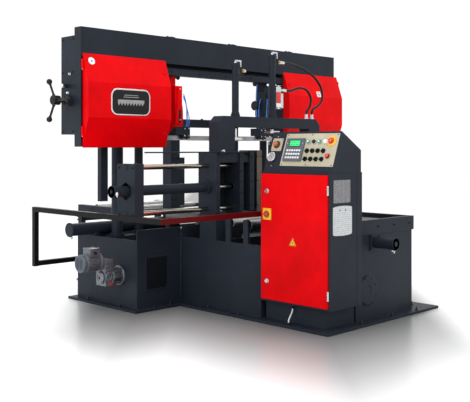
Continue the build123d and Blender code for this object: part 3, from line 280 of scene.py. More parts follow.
ORANGE_PLASTIC = moulded("orange_plastic", (0.42, 0.10, 0.035), 0.3, Coat_Weight=0.3)
SWITCH_RED = moulded("switch_red", (0.36, 0.055, 0.012), 0.4)
GREEN_PLASTIC = moulded("green_plastic", (0.015, 0.30, 0.17), 0.22, Coat_Weight=0.4)
YELLOW_PLASTIC = moulded("yellow_plastic", (0.82, 0.42, 0.012), 0.35)
SCREEN = glowing("display_glass", (0.03, 0.60, 0.16), 0.45)
SCREEN_INK = moulded("display_bars", (0.004, 0.09, 0.022), 0.3)
DIAL = moulded("dial_face", (0.34, 0.34, 0.33), 0.4)
SEAL = moulded("seal_rubber", (0.008, 0.008, 0.008), 0.55)
GREY_LABEL = printed_lines("grey_label", (0.235, 0.235, 0.24), (0.09, 0.09, 0.10), 0.0075, "X", 0.55)
WHITE_LABEL = printed_lines("white_label", (0.60, 0.62, 0.63), (0.22, 0.23, 0.25), 0.0150, "X", 0.22)


# ------------------------------------------------------------------ forms
def on_face(origin, out, up=UP):
    """Matrix whose Z axis points out of a face, with Y up on it."""
    z_axis = Vector(out).normalized()
    x_axis = Vector(up).cross(z_axis).normalized()
    y_axis = z_axis.cross(x_axis)
    turn = Matrix((x_axis, y_axis, z_axis)).transposed().to_4x4()
    return Matrix.Translation(origin) @ turn


class Piece:
    """Forms gathered into one mesh that rides on a body."""

    def __init__(self, name, body, slot, *materials):
        self.name = name
        self.body = body
        self.slot = slot
        self.materials = materials
        self.mesh = bmesh.new()

    def add(self, form, at, finish=0):
        for face in form.faces:
            face.material_index = finish
            face.smooth = True
        bmesh.ops.recalc_face_normals(form, faces=form.faces)
        form.transform(at)
        part = bpy.data.meshes.new("part")
        form.to_mesh(part)
        form.free()
        self.mesh.from_mesh(part)
        bpy.data.meshes.remove(part)

    def turned(self, at, profile, finish=0, steps=28):
        """A turned form: its profile gives radius and height, from one end to the other."""
        form = bmesh.new()
        rings = []
        for radius, height in profile:
            if radius < 1e-6:
                rings.append([form.verts.new((0, 0, height))])
                continue
            rings.append([form.verts.new((radius * math.cos(2 * math.pi * k / steps),
                                          radius * math.sin(2 * math.pi * k / steps), height))
                          for k in range(steps)])
        for low, high in zip(rings, rings[1:]):
            for k in range(steps):
                following = (k + 1) % steps
                corners = [low[k % len(low)], low[following % len(low)],
                           high[following % len(high)], high[k % len(high)]]
                form.faces.new(list(dict.fromkeys(corners)))
        for ring, outer in ((rings[0], profile[0]), (rings[-1], profile[-1])):
            if outer[0] >= 1e-6:
                form.faces.new(ring)
        self.add(form, at, finish)

    def block(self, at, low, high, edge=0.002, finish=0):
        """A block with rounded edges, between two corners."""
        form = bmesh.new()
        bmesh.ops.create_cube(form, size=1)
        size = [high[k] - low[k] for k in range(3)]
        middle = [(high[k] + low[k]) / 2 for k in range(3)]
        for vertex in form.verts:
            vertex.co = Vector([vertex.co[k] * size[k] + middle[k] for k in range(3)])
        bmesh.ops.bevel(form, geom=form.edges[:], offset=min(edge, min(size) / 3), segments=2,
                        affect="EDGES", profile=0.5)
        self.add(form, at, finish)

    def cut(self, at, outline, thickness, edge=0.001, finish=0):
        """A plate cut to an outline in the local XY plane, with broken edges."""
        form = bmesh.new()
        base = form.faces.new([form.verts.new((x, y, 0)) for x, y in outline])
        raised = bmesh.ops.extrude_face_region(form, geom=[base])
        lifted = [item for item in raised["geom"] if isinstance(item, bmesh.types.BMVert)]
        bmesh.ops.translate(form, verts=lifted, vec=(0, 0, thickness))
        rim = [item for item in form.edges
               if abs(item.verts[0].co.z - thickness) < 1e-7 and abs(item.verts[1].co.z - thickness) < 1e-7]
        bmesh.ops.bevel(form, geom=rim, offset=min(edge, thickness * 0.45), segments=2, affect="EDGES")
        self.add(form, at, finish)

    def finish(self):
        mesh = bpy.data.meshes.new(self.name)
        self.mesh.to_mesh(mesh)
        self.mesh.free()
        mesh.set_sharp_from_angle(angle=math.radians(32))
        for material in self.materials:
            mesh.materials.append(material)
        thing = bpy.data.objects.new(self.name, mesh)
        bpy.context.scene.collection.objects.link(thing)
        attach(thing, self.body)
        return thing


def rounded_outline(width, height, corner, steps=6):
    """Outline of a plate with round corners, about its middle."""
    points = []
    for quarter in range(4):
        start = quarter * math.pi / 2
        middle_x = (width / 2 - corner) * (1 if quarter in (0, 3) else -1)
        middle_y = (height / 2 - corner) * (1 if quarter in (0, 1) else -1)
        for step in range(steps + 1):
            angle = start + step / steps * math.pi / 2
            points.append((middle_x + corner * math.cos(angle), middle_y + corner * math.sin(angle)))
    return points


def hex_head(piece, at, size, finish=0):
    """A hexagon head on its washer; size is the thread diameter."""
    piece.turned(at, [(1.15 * size, 0), (1.15 * size, 0.16 * size), (0, 0.16 * size)], finish, 20)
    piece.turned(at, [(0.92 * size, 0.1 * size), (0.92 * size, 0.72 * size), (0.78 * size, 0.84 * size),
                      (0, 0.84 * size)], finish, 6)


def cap_screw(piece, at, size, finish=0):
    """A socket cap screw head with its recess."""
    piece.turned(at, [(0.75 * size, 0), (0.75 * size, 0.8 * size), (0.62 * size, 0.95 * size),
                      (0.44 * size, 0.95 * size), (0.40 * size, 0.35 * size), (0, 0.35 * size)], finish, 18)


def smooth_tube(name, body, points, radius, material):
    """A round tube along one smooth line."""
    curve = bpy.data.curves.new(name, "CURVE")
    curve.dimensions = "3D"
    curve.bevel_depth = radius
    curve.bevel_resolution = 4
    curve.use_fill_caps = True
    line = curve.splines.new("NURBS")
    line.points.add(len(points) - 1)
    for point, place in zip(line.points, points):
        point.co = (*place, 1)
    line.order_u = 3
    line.use_endpoint_u = True
    line.resolution_u = 10
    curve.materials.append(material)
    thing = bpy.data.objects.new(name, curve)
    bpy.context.scene.collection.objects.link(thing)
    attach(thing, body)
    return thing


def dress(name, *materials, choose=None):
    """Give a CAD node its finishes; choose picks one for each face from its middle."""
    mesh = nodes[name].data
    mesh.materials.clear()
    for material in materials:
        mesh.materials.append(material)
    for face in mesh.polygons:
        face.material_index = choose(face.center, face.normal) if choose else 0


# ------------------------------------------------------------------ carried-over nodes
def dress_frame():
    """Finishes of every node that shows as it is."""
    for name in nodes:
        dress(name, DARK)
    for name in ("left_cover", "right_cover"):
        dress(name, RED, INNER_AND_SHADE, choose=lambda middle, out: int(out.y > 0.5))
    dress("cabinet_door", RED, INNER_AND_SHADE, YELLOW_PLASTIC, CHROME, choose=door_finish)
    dress("left_guide_arm", DARK, RED, choose=arm_finish)
    dress("guard_rail", BLACK, RAIL_RED, choose=rail_finish)
    dress("panel_plate", PANEL, CHROME, YELLOW_PLASTIC, BLACK_PLASTIC, choose=panel_finish)
    dress("display_unit", GREY_PLASTIC, WHITE_PLASTIC, choose=display_finish)
    dress("pressure_gauge", CHROME, DIAL, choose=gauge_finish)
    dress("cylinder_fittings", CHROME, BRASS, BLACK_PLASTIC, choose=fitting_finish)
    dress("gantry", DARK, JAW, choose=jaw_finish)
    plain = {
        "selector_switches": BLACK_PLASTIC, "bed_table": BED_STEEL, "auger_gearmotor": CAST,
        "upper_hose": RUBBER, "lower_hose": RUBBER, "supply_cable": CABLE, "saw_blade": BLADE,
        "vice_rods": ROD_STEEL, "vice_jaw": JAW, "drive_wheel": IRON, "idler_wheel": IRON,
        "tension_carriage": STEEL, "tension_handwheel": BLACK_PLASTIC, "left_clamp_ram": CHROME,
        "right_clamp_ram": CHROME, "chip_auger": STEEL, "main_switch": SWITCH_RED,
        "upper_lock": CHROME, "lower_lock": CHROME, "start_button": GREEN_PLASTIC,
        "stop_button": BLACK_PLASTIC, "coolant_button": GREEN_PLASTIC, "emergency_stop": RED_PLASTIC,
        "blade_speed_knob": RED_PLASTIC, "feed_rate_knob": ORANGE_PLASTIC,
        "outfeed_roller_1": STEEL, "outfeed_roller_2": STEEL,
        "infeed_roller_1": STEEL, "infeed_roller_2": STEEL,
    }
    for name, material in plain.items():
        dress(name, material)


def door_finish(middle, out):
    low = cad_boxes["cabinet_door"][0]
    if out.x < -0.5 and middle.x < low.x + 0.012 and (middle - SWITCH).length < 0.064:
        return 2
    if middle.y < low.y + 0.014 and abs(out.z) < 0.9:
        return 3
    return int(out.x > 0.5)


def arm_finish(middle, out):
    return int(middle.z < RAIL_BOTTOM - 0.13 and middle.z > GUIDE_TOP)


def rail_finish(middle, out):
    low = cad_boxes["guard_rail"][0]
    return int(middle.x > low.x + 0.041 and middle.y < low.y + 0.05)


def panel_finish(middle, out):
    if (middle - ESTOP).length < 0.036:
        return 2
    raised = (middle - PANEL_ORIGIN).dot(PANEL_OUT) > 0.0031
    return int(raised)


def display_finish(middle, out):
    return int((middle - PANEL_ORIGIN).dot(PANEL_OUT) > 0.0131)


def gauge_finish(middle, out):
    centre = on_panel(GAUGE.y, GAUGE.z, 0.0).translation
    flat = (middle - centre) - PANEL_OUT * (middle - centre).dot(PANEL_OUT)
    return int(out.dot(PANEL_OUT) > 0.9 and flat.length < 0.031
               and (middle - centre).dot(PANEL_OUT) < 0.02)


def fitting_finish(middle, out):
    for x, top in zip(CLAMP_XS, CLAMP_TOPS):
        if top - 0.125 < middle.z < top - 0.015 and x + 0.035 < middle.x < x + 0.110:
            return 1 if middle.x > x + 0.076 else 2
    return 2 if middle.z < 1.53 else 0


def jaw_finish(middle, out):
    return int(FIXED_JAW_X - 0.002 < middle.x < FIXED_JAW_X + 0.042 and middle.z < 1.205)


# ------------------------------------------------------------------ places read from the frame
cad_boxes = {name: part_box(name) for name in nodes}
console_low, console_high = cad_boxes["control_console"]
PANEL_FOOT = Vector((-0.650, 0, console_low.z))
PANEL_TOP = Vector((-0.536, 0, console_high.z))
PANEL_UP = (PANEL_TOP - PANEL_FOOT).normalized()
PANEL_OUT = Vector((-PANEL_UP.z, 0, PANEL_UP.x))
PANEL_ORIGIN = PANEL_FOOT


def on_panel(y, z, lift):
    """Matrix of a place on the sloping panel, Z out of it and Y up the slope."""
    along = (z - PANEL_FOOT.z) / PANEL_UP.z
    origin = PANEL_FOOT + PANEL_UP * along + PANEL_OUT * lift + Vector((0, y, 0))
    return on_face(origin, PANEL_OUT, PANEL_UP)


PANEL_SHEET = 0.003
DEVICE_YS = (-1.412, -1.464, -1.516, -1.568)
BUTTON_Z = 1.387
SELECTOR_ZS = (1.320, 1.259)
ESTOP = on_panel(-1.626, 1.392, PANEL_SHEET).translation
SPEED_AT = (-1.620, 1.281)
FEED_AT = (-1.095, 1.367)
GAUGE = Vector((0, -1.079, 1.268))
DISPLAY_Y, DISPLAY_Z = (-1.375, -1.195), (1.240, 1.412)
SWITCH = Vector((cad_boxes["cabinet_door"][0].x, -1.105, 0.836))
CLAMP_XS = (-0.403, 0.060)
CLAMP_TOPS = (2.062, 2.169)
CLAMP_Y = -0.460
FIXED_JAW_X = 0.414
WHEEL_Z = 1.721
BLADE_Y = 0.097
RAIL_BOTTOM = 2.090
GUIDE_TOP = 1.530
# Painted floor shadow: the left and front edges of the two boxes of the machine's footprint it is measured
# from, and how far out it fades to white.
SHADOW_EDGES = ((-1.206, -0.125), (-0.735, -1.721))
SHADOW_REACH = 1.85
SKY_STRENGTH = 1.03
CAMERA_PLACE = (-5.287, -5.340, 1.350)
CAMERA_LENS = 62.2
CAMERA_SHIFT = -54 / 470


# ------------------------------------------------------------------ saw bow
def cover_badge():
    """Dark plate in a bright rim, with a plain saw-tooth band as its motif."""
    low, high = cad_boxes["left_cover"]
    at = on_face(((low.x + high.x) / 2, low.y, WHEEL_Z - 0.004), FRONT)
    badge = Piece("cover_badge", "left_cover", "aluminium", CHROME, BLACK_PLASTIC, STEEL)
    wide, tall, rim = 0.400, 0.218, 0.011
    badge.cut(at, rounded_outline(wide, tall, 0.062, 10), 0.0035, 0.0012, 0)
    face = at @ Matrix.Translation((0, 0, 0.0034))
    badge.cut(face, rounded_outline(wide - 2 * rim, tall - 2 * rim, 0.052, 10), 0.0012, 0.0005, 1)
    motif = at @ Matrix.Translation((0, 0, 0.0044))
    teeth, pitch = 9, 0.030
    start = -teeth * pitch / 2
    outline = [(start, 0.018), (start, -0.004)]
    for tooth in range(teeth):
        left = start + tooth * pitch
        outline += [(left + 0.25 * pitch, -0.030), (left + pitch, -0.004)]
    outline += [(start + teeth * pitch, 0.018)]
    badge.cut(motif, outline, 0.0012, 0.0003, 2)
    for height in (0.040, 0.056):
        bar = motif @ Matrix.Translation((0, height, 0))
        badge.cut(bar, rounded_outline(0.20 - height, 0.0055, 0.0025, 4), 0.0012, 0.0003, 2)
    for side in (-1, 1):
        for level in (-1, 1):
            screw = at @ Matrix.Translation((side * 0.178, level * 0.087, 0.0045))
            badge.turned(screw, [(0.0045, 0), (0.0040, 0.0016), (0, 0.0022)], 0, 16)
    badge.finish()


def cover_details():
    """Hinge pins, catches and the small plain stickers of both covers."""
    for name, hinge_side in (("left_cover", -1), ("right_cover", 1)):
        low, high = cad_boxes[name]
        trim = Piece(f"{name}_trim", name, "red_paint", RED, DARK_BOLT, WHITE_PLASTIC, CHROME)
        pin_x = low.x + 0.008 if hinge_side < 0 else high.x - 0.008
        for z in (1.475, 2.007):
            knuckle = on_face((pin_x, 0.0477, z - 0.040), UP, BACK)
            for step in range(3):
                ring = knuckle @ Matrix.Translation((0, 0, 0.027 * step))
                trim.turned(ring,
                            [(0.0092, 0), (0.0098, 0.002), (0.0098, 0.023), (0.0092, 0.025), (0, 0.025)],
                            0, 20)
            trim.turned(knuckle @ Matrix.Translation((0, 0, -0.004)),
                        [(0.0045, 0), (0.0055, 0.002), (0.0055, 0.004), (0, 0.004)], 3, 16)
        free_x = high.x - 0.045 if hinge_side < 0 else low.x + 0.045
        for z in (1.46, 1.98):
            slope = 0.080 / 0.239
            y = low.y + (1.584 - z) * slope if z < 1.6 else low.y + (z - 1.866) * 0.080 / 0.231
            out = Vector((0, -1, -slope if z < 1.6 else slope)).normalized()
            catch = on_face((free_x, y, z), out)
            trim.turned(catch, [(0.015, 0), (0.015, 0.003), (0.012, 0.006), (0, 0.0065)], 0, 24)
            trim.block(catch, (-0.010, -0.0015, 0.0060), (0.010, 0.0015, 0.0075), 0.0004, 1)
        trim.finish()
    low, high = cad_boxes["left_cover"]
    out = Vector((0, -1, 0.346)).normalized()
    disc = Piece("cover_disc", "left_cover", "cable_grey", WHITE_PLASTIC, CHROME, BLUE_TUBE)
    z = 2.035
    y = low.y + (z - 1.866) * 0.080 / 0.231
    at = on_face((low.x + 0.088, y, z), out)
    disc.turned(at, [(0.031, 0), (0.031, 0.0012), (0.0295, 0.0016), (0, 0.0016)], 0, 40)
    disc.turned(at @ Matrix.Translation((0, 0, 0.0015)),
                [(0.0090, 0), (0.0090, 0.0006), (0.0080, 0.0008), (0, 0.0008)], 2, 28)
    disc.finish()
    plate = Piece("cover_label", "right_cover", "cable_grey", WHITE_PLASTIC, BLACK_PLASTIC)
    low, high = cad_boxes["right_cover"]
    at = on_face((1.269, low.y + 0.029 * 0.346, 1.895), Vector((0, -1, 0.346)))
    plate.cut(at, rounded_outline(0.062, 0.060, 0.004), 0.0012, 0.0004, 0)
    for level in (-0.016, 0.0, 0.016):
        bar = at @ Matrix.Translation((0, level, 0.0011))
        plate.cut(bar, rounded_outline(0.040 - abs(level) * 0.6, 0.006, 0.002, 3), 0.0005, 0.0002, 1)
    plate.finish()


def blade_teeth():
    """Raked teeth along the blade's lower edge between the two guide heads."""
    low_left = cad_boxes["left_guide_arm"][1].x
    low_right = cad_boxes["right_guide_arm"][0].x
    bottom = WHEEL_Z - 0.290 - 0.041 / 2 - 0.0007
    teeth = Piece("blade_teeth", "bow", "steel", BLADE)
    at = on_face((0, BLADE_Y + 0.0006, bottom + 0.001), FRONT)
    pitch = 0.0085
    count = int((low_right - low_left) / pitch)
    outline = [(low_left, 0.0015)]
    for tooth in range(count):
        left = low_left + tooth * pitch
        outline += [(left + 0.15 * pitch, -0.0042), (left + pitch, 0.0)]
    outline.append((low_left + count * pitch, 0.0015))
    teeth.cut(at, list(reversed(outline)), 0.0012, 0.0001)
    teeth.finish()


def bow_fasteners():
    """Screws of the beam, the housings, the blade guard and the guide rail, four hex bolts near the bow's
    ends, seams, and a strip of painted shade in the gap under the beam.
    """
    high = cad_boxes["bow_frame"][1]
    set_ = Piece("bow_fasteners", "bow", "steel", DARK_BOLT, DARK, ZINC)
    for x in (-0.700, 0.060, 0.860):
        for side in (0.018, 0.072):
            cap_screw(set_, on_face((x + side, 0.104, high.z), UP, BACK), 0.008)
    for x in (-0.62, -0.30, 0.02, 0.34, 0.66):
        cap_screw(set_, on_face((x, 0.188, 2.130), BACK), 0.010)
    for x in (-0.66, -0.33, 0.0, 0.33, 0.70):
        cap_screw(set_, on_face((x, 0.064, 2.0065), FRONT), 0.008)
    for x in (-1.500, 1.500):
        for z in (2.110, 2.270):
            hex_head(set_, on_face((x, 0.148, z), BACK), 0.012)
    for x0, x1 in ((-1.611, -0.736), (0.790, 1.660)):
        for step in range(4):
            x = x0 + 0.07 + (x1 - x0 - 0.14) * step / 3
            cap_screw(set_, on_face((x, 0.148, 1.375), BACK), 0.010)
    set_.finish()
    seams = Piece("bow_seams", "bow", "dark_paint", DARK)
    for x0, x1 in ((-1.611, -0.736), (0.790, 1.610)):
        seams.block(Matrix(), (x0 + 0.002, 0.1475, 2.070), (x1 - 0.002, 0.1525, 2.078), 0.002)
    seams.block(Matrix(), (-0.735, 0.0600, 2.0345), (0.789, 0.0650, 2.0385), 0.0018)
    seams.finish()
    # Painted shade: a near-black strip fills the gap between the beam and the guide rail, where there is
    # only shadow, with four screws on it.
    gap_shade = Piece("bow_gap_painted_shade", "bow", "dark_paint", INNER_AND_SHADE, DARK_BOLT)
    gap_shade.block(Matrix(), (-0.735, 0.1240, 2.034), (0.789, 0.1300, 2.091), 0.002)
    for x in (-0.60, -0.20, 0.20, 0.60):
        cap_screw(gap_shade, on_face((x, 0.1240, 2.064), FRONT), 0.008, 1)
    gap_shade.finish()


def tension_unit():
    """Sensor, gland, pin and screws on the tension housing, and the handwheel's details."""
    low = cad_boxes["tension_housing"][0]
    left = low.x + 0.040
    unit = Piece("tension_details", "bow", "chrome", CHROME, WHITE_PLASTIC, DARK_BOLT, BLACK_PLASTIC)
    sensor = on_face((low.x + 0.001, 0.240, WHEEL_Z + 0.120), LEFT)
    unit.turned(sensor, [(0.0175, 0), (0.0185, 0.004), (0.0185, 0.018), (0.0150, 0.022), (0, 0.022)], 0, 32)
    unit.turned(sensor @ Matrix.Translation((0, 0, 0.0215)), [(0.012, 0), (0.012, 0.0015), (0, 0.002)], 1,
                28)
    gland = on_face((left, 0.200, WHEEL_Z + 0.215), LEFT)
    unit.turned(gland, [(0.012, 0), (0.012, 0.010), (0.009, 0.013), (0.009, 0.020), (0, 0.021)], 0, 6)
    pin = on_face((left, 0.235, WHEEL_Z + 0.065), LEFT)
    unit.turned(pin, [(0.010, 0), (0.010, 0.014), (0.007, 0.018), (0, 0.018)], 1, 24)
    for turn in range(4):
        angle = math.radians(45 + 90 * turn)
        screw = on_face((left - 0.034, 0.210 + 0.034 * math.cos(angle), WHEEL_Z + 0.034 * math.sin(angle)),
                        LEFT)
        cap_screw(unit, screw, 0.008, 2)
    for y in (0.168, 0.316):
        for z in (1.475, 1.70, 1.95, 2.218):
            cap_screw(unit, on_face((left, y, z), LEFT), 0.008, 2)
    unit.finish()
    hub = Piece("handwheel_hub", "tension_handwheel", "black_plastic", BLACK_PLASTIC, DARK_BOLT)
    at = on_face((-1.742 - 0.030, 0.210, WHEEL_Z), LEFT)
    hub.turned(at, [(0.038, -0.001), (0.0365, 0.004), (0.026, 0.0045), (0.024, 0.001), (0, 0.001)], 0, 32)
    hub.turned(at, [(0.014, 0), (0.014, 0.0045), (0, 0.0045)], 1, 6)
    for turn in range(3):
        angle = math.radians(60 + 120 * turn)
        out = Vector((0, math.cos(angle), math.sin(angle)))
        start = Vector((-1.748, 0.210, WHEEL_Z)) + out * 0.036
        hub.turned(on_face(start, out, RIGHT), [(0.0125, 0), (0.0125, 0.014), (0.0098, 0.019), (0, 0.019)],
                   0, 24)
        ball = Vector((-1.748, 0.210, WHEEL_Z)) + out * 0.146
        hub.turned(on_face(ball, out, RIGHT), [(0.011, 0), (0.0125, 0.003), (0.0125, 0.009), (0, 0.010)], 1,
                   20)
    hub.finish()


def guide_arms():
    """Shaped castings, clamp levers, carbide holders and coolant tubes of both guide arms."""
    for name, body, inward in (("left_guide_arm", "left_guide", 1), ("right_guide_arm", "bow", -1)):
        low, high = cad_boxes[name]
        x0, x1 = (low.x, low.x + 0.083) if inward > 0 else (high.x - 0.083, high.x)
        middle = (x0 + x1) / 2
        head = (x1, x1 + 0.083) if inward > 0 else (x0 - 0.083, x0)
        skin = RED if inward > 0 else DARK
        arm = Piece(f"{name}_casting", body, "red_paint" if inward > 0 else "dark_paint", skin, DARK,
                    DARK_BOLT, CHROME, BLACK_PLASTIC)
        front_y = 0.071
        outline = [(x0 + 0.018, 1.885), (x1 - 0.022, 1.885), (x1 - 0.020, 1.760), (x1 - 0.004, 1.700),
                   (x1, 1.660), (x1, 1.545), (x0, 1.545), (x0, 1.640), (x0 + 0.012, 1.720),
                   (x0 + 0.018, 1.780)]
        arm.cut(on_face((0, front_y + 0.0015, 0), FRONT), outline, 0.017, 0.004, 0)
        arm.block(Matrix(), (middle - 0.012, 0.051, 1.560), (middle + 0.012, 0.0555, 1.680), 0.002, 4)
        for z in (1.590, 1.860):
            cap_screw(arm, on_face((middle, 0.0545, z), FRONT), 0.010, 3)
        for x in (head[0] + 0.016, head[1] - 0.016):
            for z in (1.450, 1.512):
                cap_screw(arm, on_face((x, 0.059, z), FRONT), 0.009, 3)
        arm.block(Matrix(), (head[0] + 0.030, 0.0535, 1.418), (head[1] - 0.030, 0.0600, 1.470), 0.002, 2)
        face_x, out = (x1, RIGHT) if inward > 0 else (x0, LEFT)
        for z, radius in ((1.972, 0.026), (1.757, 0.048)) if inward < 0 else ((1.972, 0.020),):
            knob = on_face((face_x, 0.172, z), out)
            arm.turned(knob, [(0.010, -0.004), (0.010, 0.022), (radius - 0.004, 0.026), (radius, 0.032),
                              (radius, 0.044), (radius - 0.005, 0.050), (0, 0.052)], 4, 14)
        for z in (2.080, 2.182):
            cap_screw(arm, on_face((middle, 0.2145, z), BACK), 0.012, 2)
        arm.finish()
        tip_x = (head[0] + head[1]) / 2
        for number, shift in enumerate((0.0, 0.017, -0.014)[: 3 if inward > 0 else 2]):
            start_x = face_x - inward * 0.006
            points = [(start_x, 0.0480, 1.800 + shift), (start_x + inward * 0.012, 0.0380, 1.770 + shift),
                      (start_x + inward * 0.026, 0.0330, 1.700),
                      (tip_x + shift - inward * 0.012, 0.0310, 1.620),
                      (tip_x + shift, 0.0360, 1.560), (tip_x + shift, 0.0560, 1.5260)]
            smooth_tube(f"{name}_tube_{number + 1}", body, points, 0.0034, BLUE_TUBE)
    drop = [(0.500, 0.140, 1.965), (0.498, 0.150, 1.90), (0.497, 0.150, 1.70), (0.499, 0.140, 1.58),
            (0.503, 0.120, 1.528)]
    smooth_tube("right_drop_tube", "bow", drop, 0.0060, BLUE_TUBE)
    branch = [(0.585, 0.150, 1.850), (0.560, 0.132, 1.842), (0.525, 0.128, 1.800), (0.508, 0.130, 1.700),
              (0.508, 0.120, 1.530)]
    smooth_tube("right_branch_tube", "bow", branch, 0.0050, BLUE_TUBE)


def sleeves_and_columns():
    """End rings, wipers, screws and grease points of the sleeves, and the lift cylinder heads."""
    rings = Piece("sleeve_rings", "bow", "dark_paint", DARK, SEAL, DARK_BOLT, BRASS)
    for x in (-0.765, 0.865):
        for z, out in ((1.470, DOWN), (1.960, UP)):
            at = on_face((x, 0.400, z), out, BACK)
            rings.turned(at, [(0.0390, 0.0), (0.066, 0.0), (0.066, 0.012), (0.060, 0.016), (0.0390, 0.016),
                              (0.0390, 0.0)], 0, 40)
            rings.turned(at, [(0.0386, 0.015), (0.046, 0.015), (0.044, 0.021), (0.0386, 0.022),
                              (0.0386, 0.015)], 1, 40)
            for turn in range(6):
                angle = math.radians(30 + 60 * turn)
                screw = at @ Matrix.Translation((0.056 * math.cos(angle), 0.056 * math.sin(angle), 0.015))
                cap_screw(rings, screw, 0.007, 2)
        nipple = on_face((x, 0.462, 1.70), BACK)
        rings.turned(nipple,
                     [(0.006, -0.002), (0.006, 0.006), (0.0035, 0.009), (0.0045, 0.014), (0, 0.016)], 3, 12)
    rings.finish()
    heads = Piece("lift_heads", "frame", "chrome", ZINC, SEAL, DARK_BOLT)
    for x in (-1.000, 1.010):
        at = on_face((x, 0.400, 1.400), UP, BACK)
        heads.turned(at,
                     [(0.0256, -0.030), (0.054, -0.030), (0.054, 0.004), (0.048, 0.010), (0.0256, 0.010),
                          (0.0256, -0.030)], 0, 40)
        heads.turned(at, [(0.0253, 0.009), (0.033, 0.009), (0.031, 0.015), (0.0253, 0.016),
                          (0.0253, 0.009)], 1, 36)
        foot = on_face((x, 0.400, 0.596), UP, BACK)
        for turn in range(4):
            angle = math.radians(45 + 90 * turn)
            hex_head(heads,
                     foot @ Matrix.Translation((0.057 * math.cos(angle), 0.057 * math.sin(angle), 0)),
                     0.007, 2)
    heads.finish()


def drive_motor():
    """Fins, fan cover, terminal box lid, flange screws and ribs of the drive motor and gearbox."""
    low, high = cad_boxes["drive_gearmotor"]
    axis_x = 1.242
    motor = Piece("drive_motor_fins", "bow", "dark_paint", DARK, DARK_BOLT, BLACK_PLASTIC, STEEL)
    at = on_face((axis_x, 0.430, WHEEL_Z), BACK)
    for fin in range(36):
        angle = 2 * math.pi * fin / 36
        if abs(math.cos(angle)) < 0.50 and math.sin(angle) > 0:
            continue
        fin_at = at @ Matrix.Rotation(angle, 4, "Z")
        motor.block(fin_at, (0.100, -0.002, 0.010), (0.1215, 0.002, 0.262), 0.001, 0)
    motor.block(on_face((axis_x, 0.530, WHEEL_Z + 0.155), UP, BACK), (-0.064, -0.074, -0.004),
                (0.064, 0.074, 0.010), 0.004, 0)
    for x in (-0.052, 0.052):
        for y in (-0.062, 0.062):
            cap_screw(motor, on_face((axis_x + x, 0.530 + y, WHEEL_Z + 0.164), UP, BACK), 0.006, 1)
    fan = on_face((axis_x, high.y, WHEEL_Z), BACK)
    for ring in range(4):
        r = 0.028 + 0.020 * ring
        motor.turned(fan, [(r, -0.002), (r + 0.008, -0.002), (r + 0.007, 0.003), (r + 0.001, 0.003),
                           (r, -0.002)],
                     2, 36)
    for spoke in range(4):
        motor.block(fan @ Matrix.Rotation(math.pi / 4 * (1 + 2 * spoke), 4, "Z"), (0.010, -0.003, -0.001),
                    (0.102, 0.003, 0.0035), 0.001, 2)
    for turn in range(8):
        angle = 2 * math.pi * (turn + 0.5) / 8
        hex_head(motor,
                 on_face((axis_x + 0.118 * math.cos(angle), 0.424, WHEEL_Z + 0.118 * math.sin(angle)),
                                BACK), 0.008, 1)
    for x in (low.x + 0.045, high.x - 0.045):
        for z in (low.z + 0.045, high.z - 0.045):
            hex_head(motor, on_face((x, 0.400, z), BACK), 0.012, 1)
    for step in range(5):
        z = low.z + 0.075 + step * 0.042
        motor.block(Matrix(), (high.x - 0.002, 0.175, z), (high.x + 0.010, 0.375, z + 0.010), 0.003, 0)
    motor.finish()


# ------------------------------------------------------------------ base and table
def base_fasteners():
    """Levelling screws, foot screws, weld beads and the chip window of the base, its shaded recess drawn as
    a near-black plate of painted shade.
    """
    feet = Piece("base_fasteners", "frame", "steel", DARK_BOLT, DARK, ZINC)
    spots = [(x, y) for x in (-1.186, 1.186) for y in (0.12, 0.58)]
    spots += [(-1.00, -0.105), (-0.83, -0.105), (0.83, -0.105), (1.00, -0.105)]
    spots += [(-0.710, -0.45), (-0.710, -0.80), (0.610, -0.30), (0.610, -0.75), (0.610, -1.20),
              (0.610, -1.55)]
    spots += [(-0.30, -1.700), (0.10, -1.700), (0.45, -1.700)]
    for x, y in spots:
        at = on_face((x, y, 0.020), UP, BACK)
        hex_head(feet, at, 0.013)
        feet.turned(at, [(0.0065, 0.009), (0.0065, 0.027), (0.0055, 0.029), (0, 0.029)], 0, 14)
    feet.finish()
    beads = Piece("base_welds", "frame", "dark_paint", DARK)
    for x0, x1, y, z in ((-1.156, -0.683, -0.075, 0.020), (0.683, 1.156, -0.075, 0.020)):
        beads.block(Matrix(), (x0, y - 0.006, z - 0.001), (x1, y + 0.001, z + 0.006), 0.003)
    beads.block(Matrix(), (-0.676, -1.01, 0.019), (-0.669, -0.075, 0.026), 0.003)
    beads.block(Matrix(), (0.490, -1.627, 0.019), (0.497, -0.075, 0.026), 0.003)
    beads.block(Matrix(), (-0.275, -1.633, 0.019), (0.497, -1.626, 0.026), 0.003)
    beads.block(Matrix(), (-1.162, -0.075, 0.019), (-1.155, 0.775, 0.026), 0.003)
    beads.block(Matrix(), (-0.690, -0.079, 0.020), (-0.682, -0.074, 0.580), 0.002)
    beads.block(Matrix(), (-0.684, -0.082, 0.026), (-0.668, -0.074, 0.574), 0.003)
    beads.finish()
    # Painted shade: the chip window's recess is a near-black plate standing on the pedestal's front face.
    window = Piece("chip_window_painted_shade", "frame", "dark_paint", DARK, DARK_BOLT, INNER_AND_SHADE)
    at = on_face((-0.950, -0.075, 0.300), FRONT)
    window.cut(at, rounded_outline(0.216, 0.256, 0.010), 0.0035, 0.001, 2)
    for x in (-0.095, 0.095):
        for z in (-0.115, 0.115):
            cap_screw(window, at @ Matrix.Translation((x, z, 0.0035)), 0.006, 1)
    window.finish()
    cover = Piece("access_cover", "frame", "dark_paint", DARK, DARK_BOLT)
    at = on_face((-0.127, -1.633, 0.241), FRONT)
    cover.turned(at, [(0.112, -0.001), (0.112, 0.003), (0.108, 0.006), (0.040, 0.006), (0.036, 0.003),
                      (0, 0.003)], 0, 64)
    for turn in range(8):
        angle = 2 * math.pi * (turn + 0.5) / 8
        cap_screw(cover,
                  at @ Matrix.Translation((0.100 * math.cos(angle), 0.100 * math.sin(angle), 0.0055)),
                  0.006, 1)
    cover.finish()


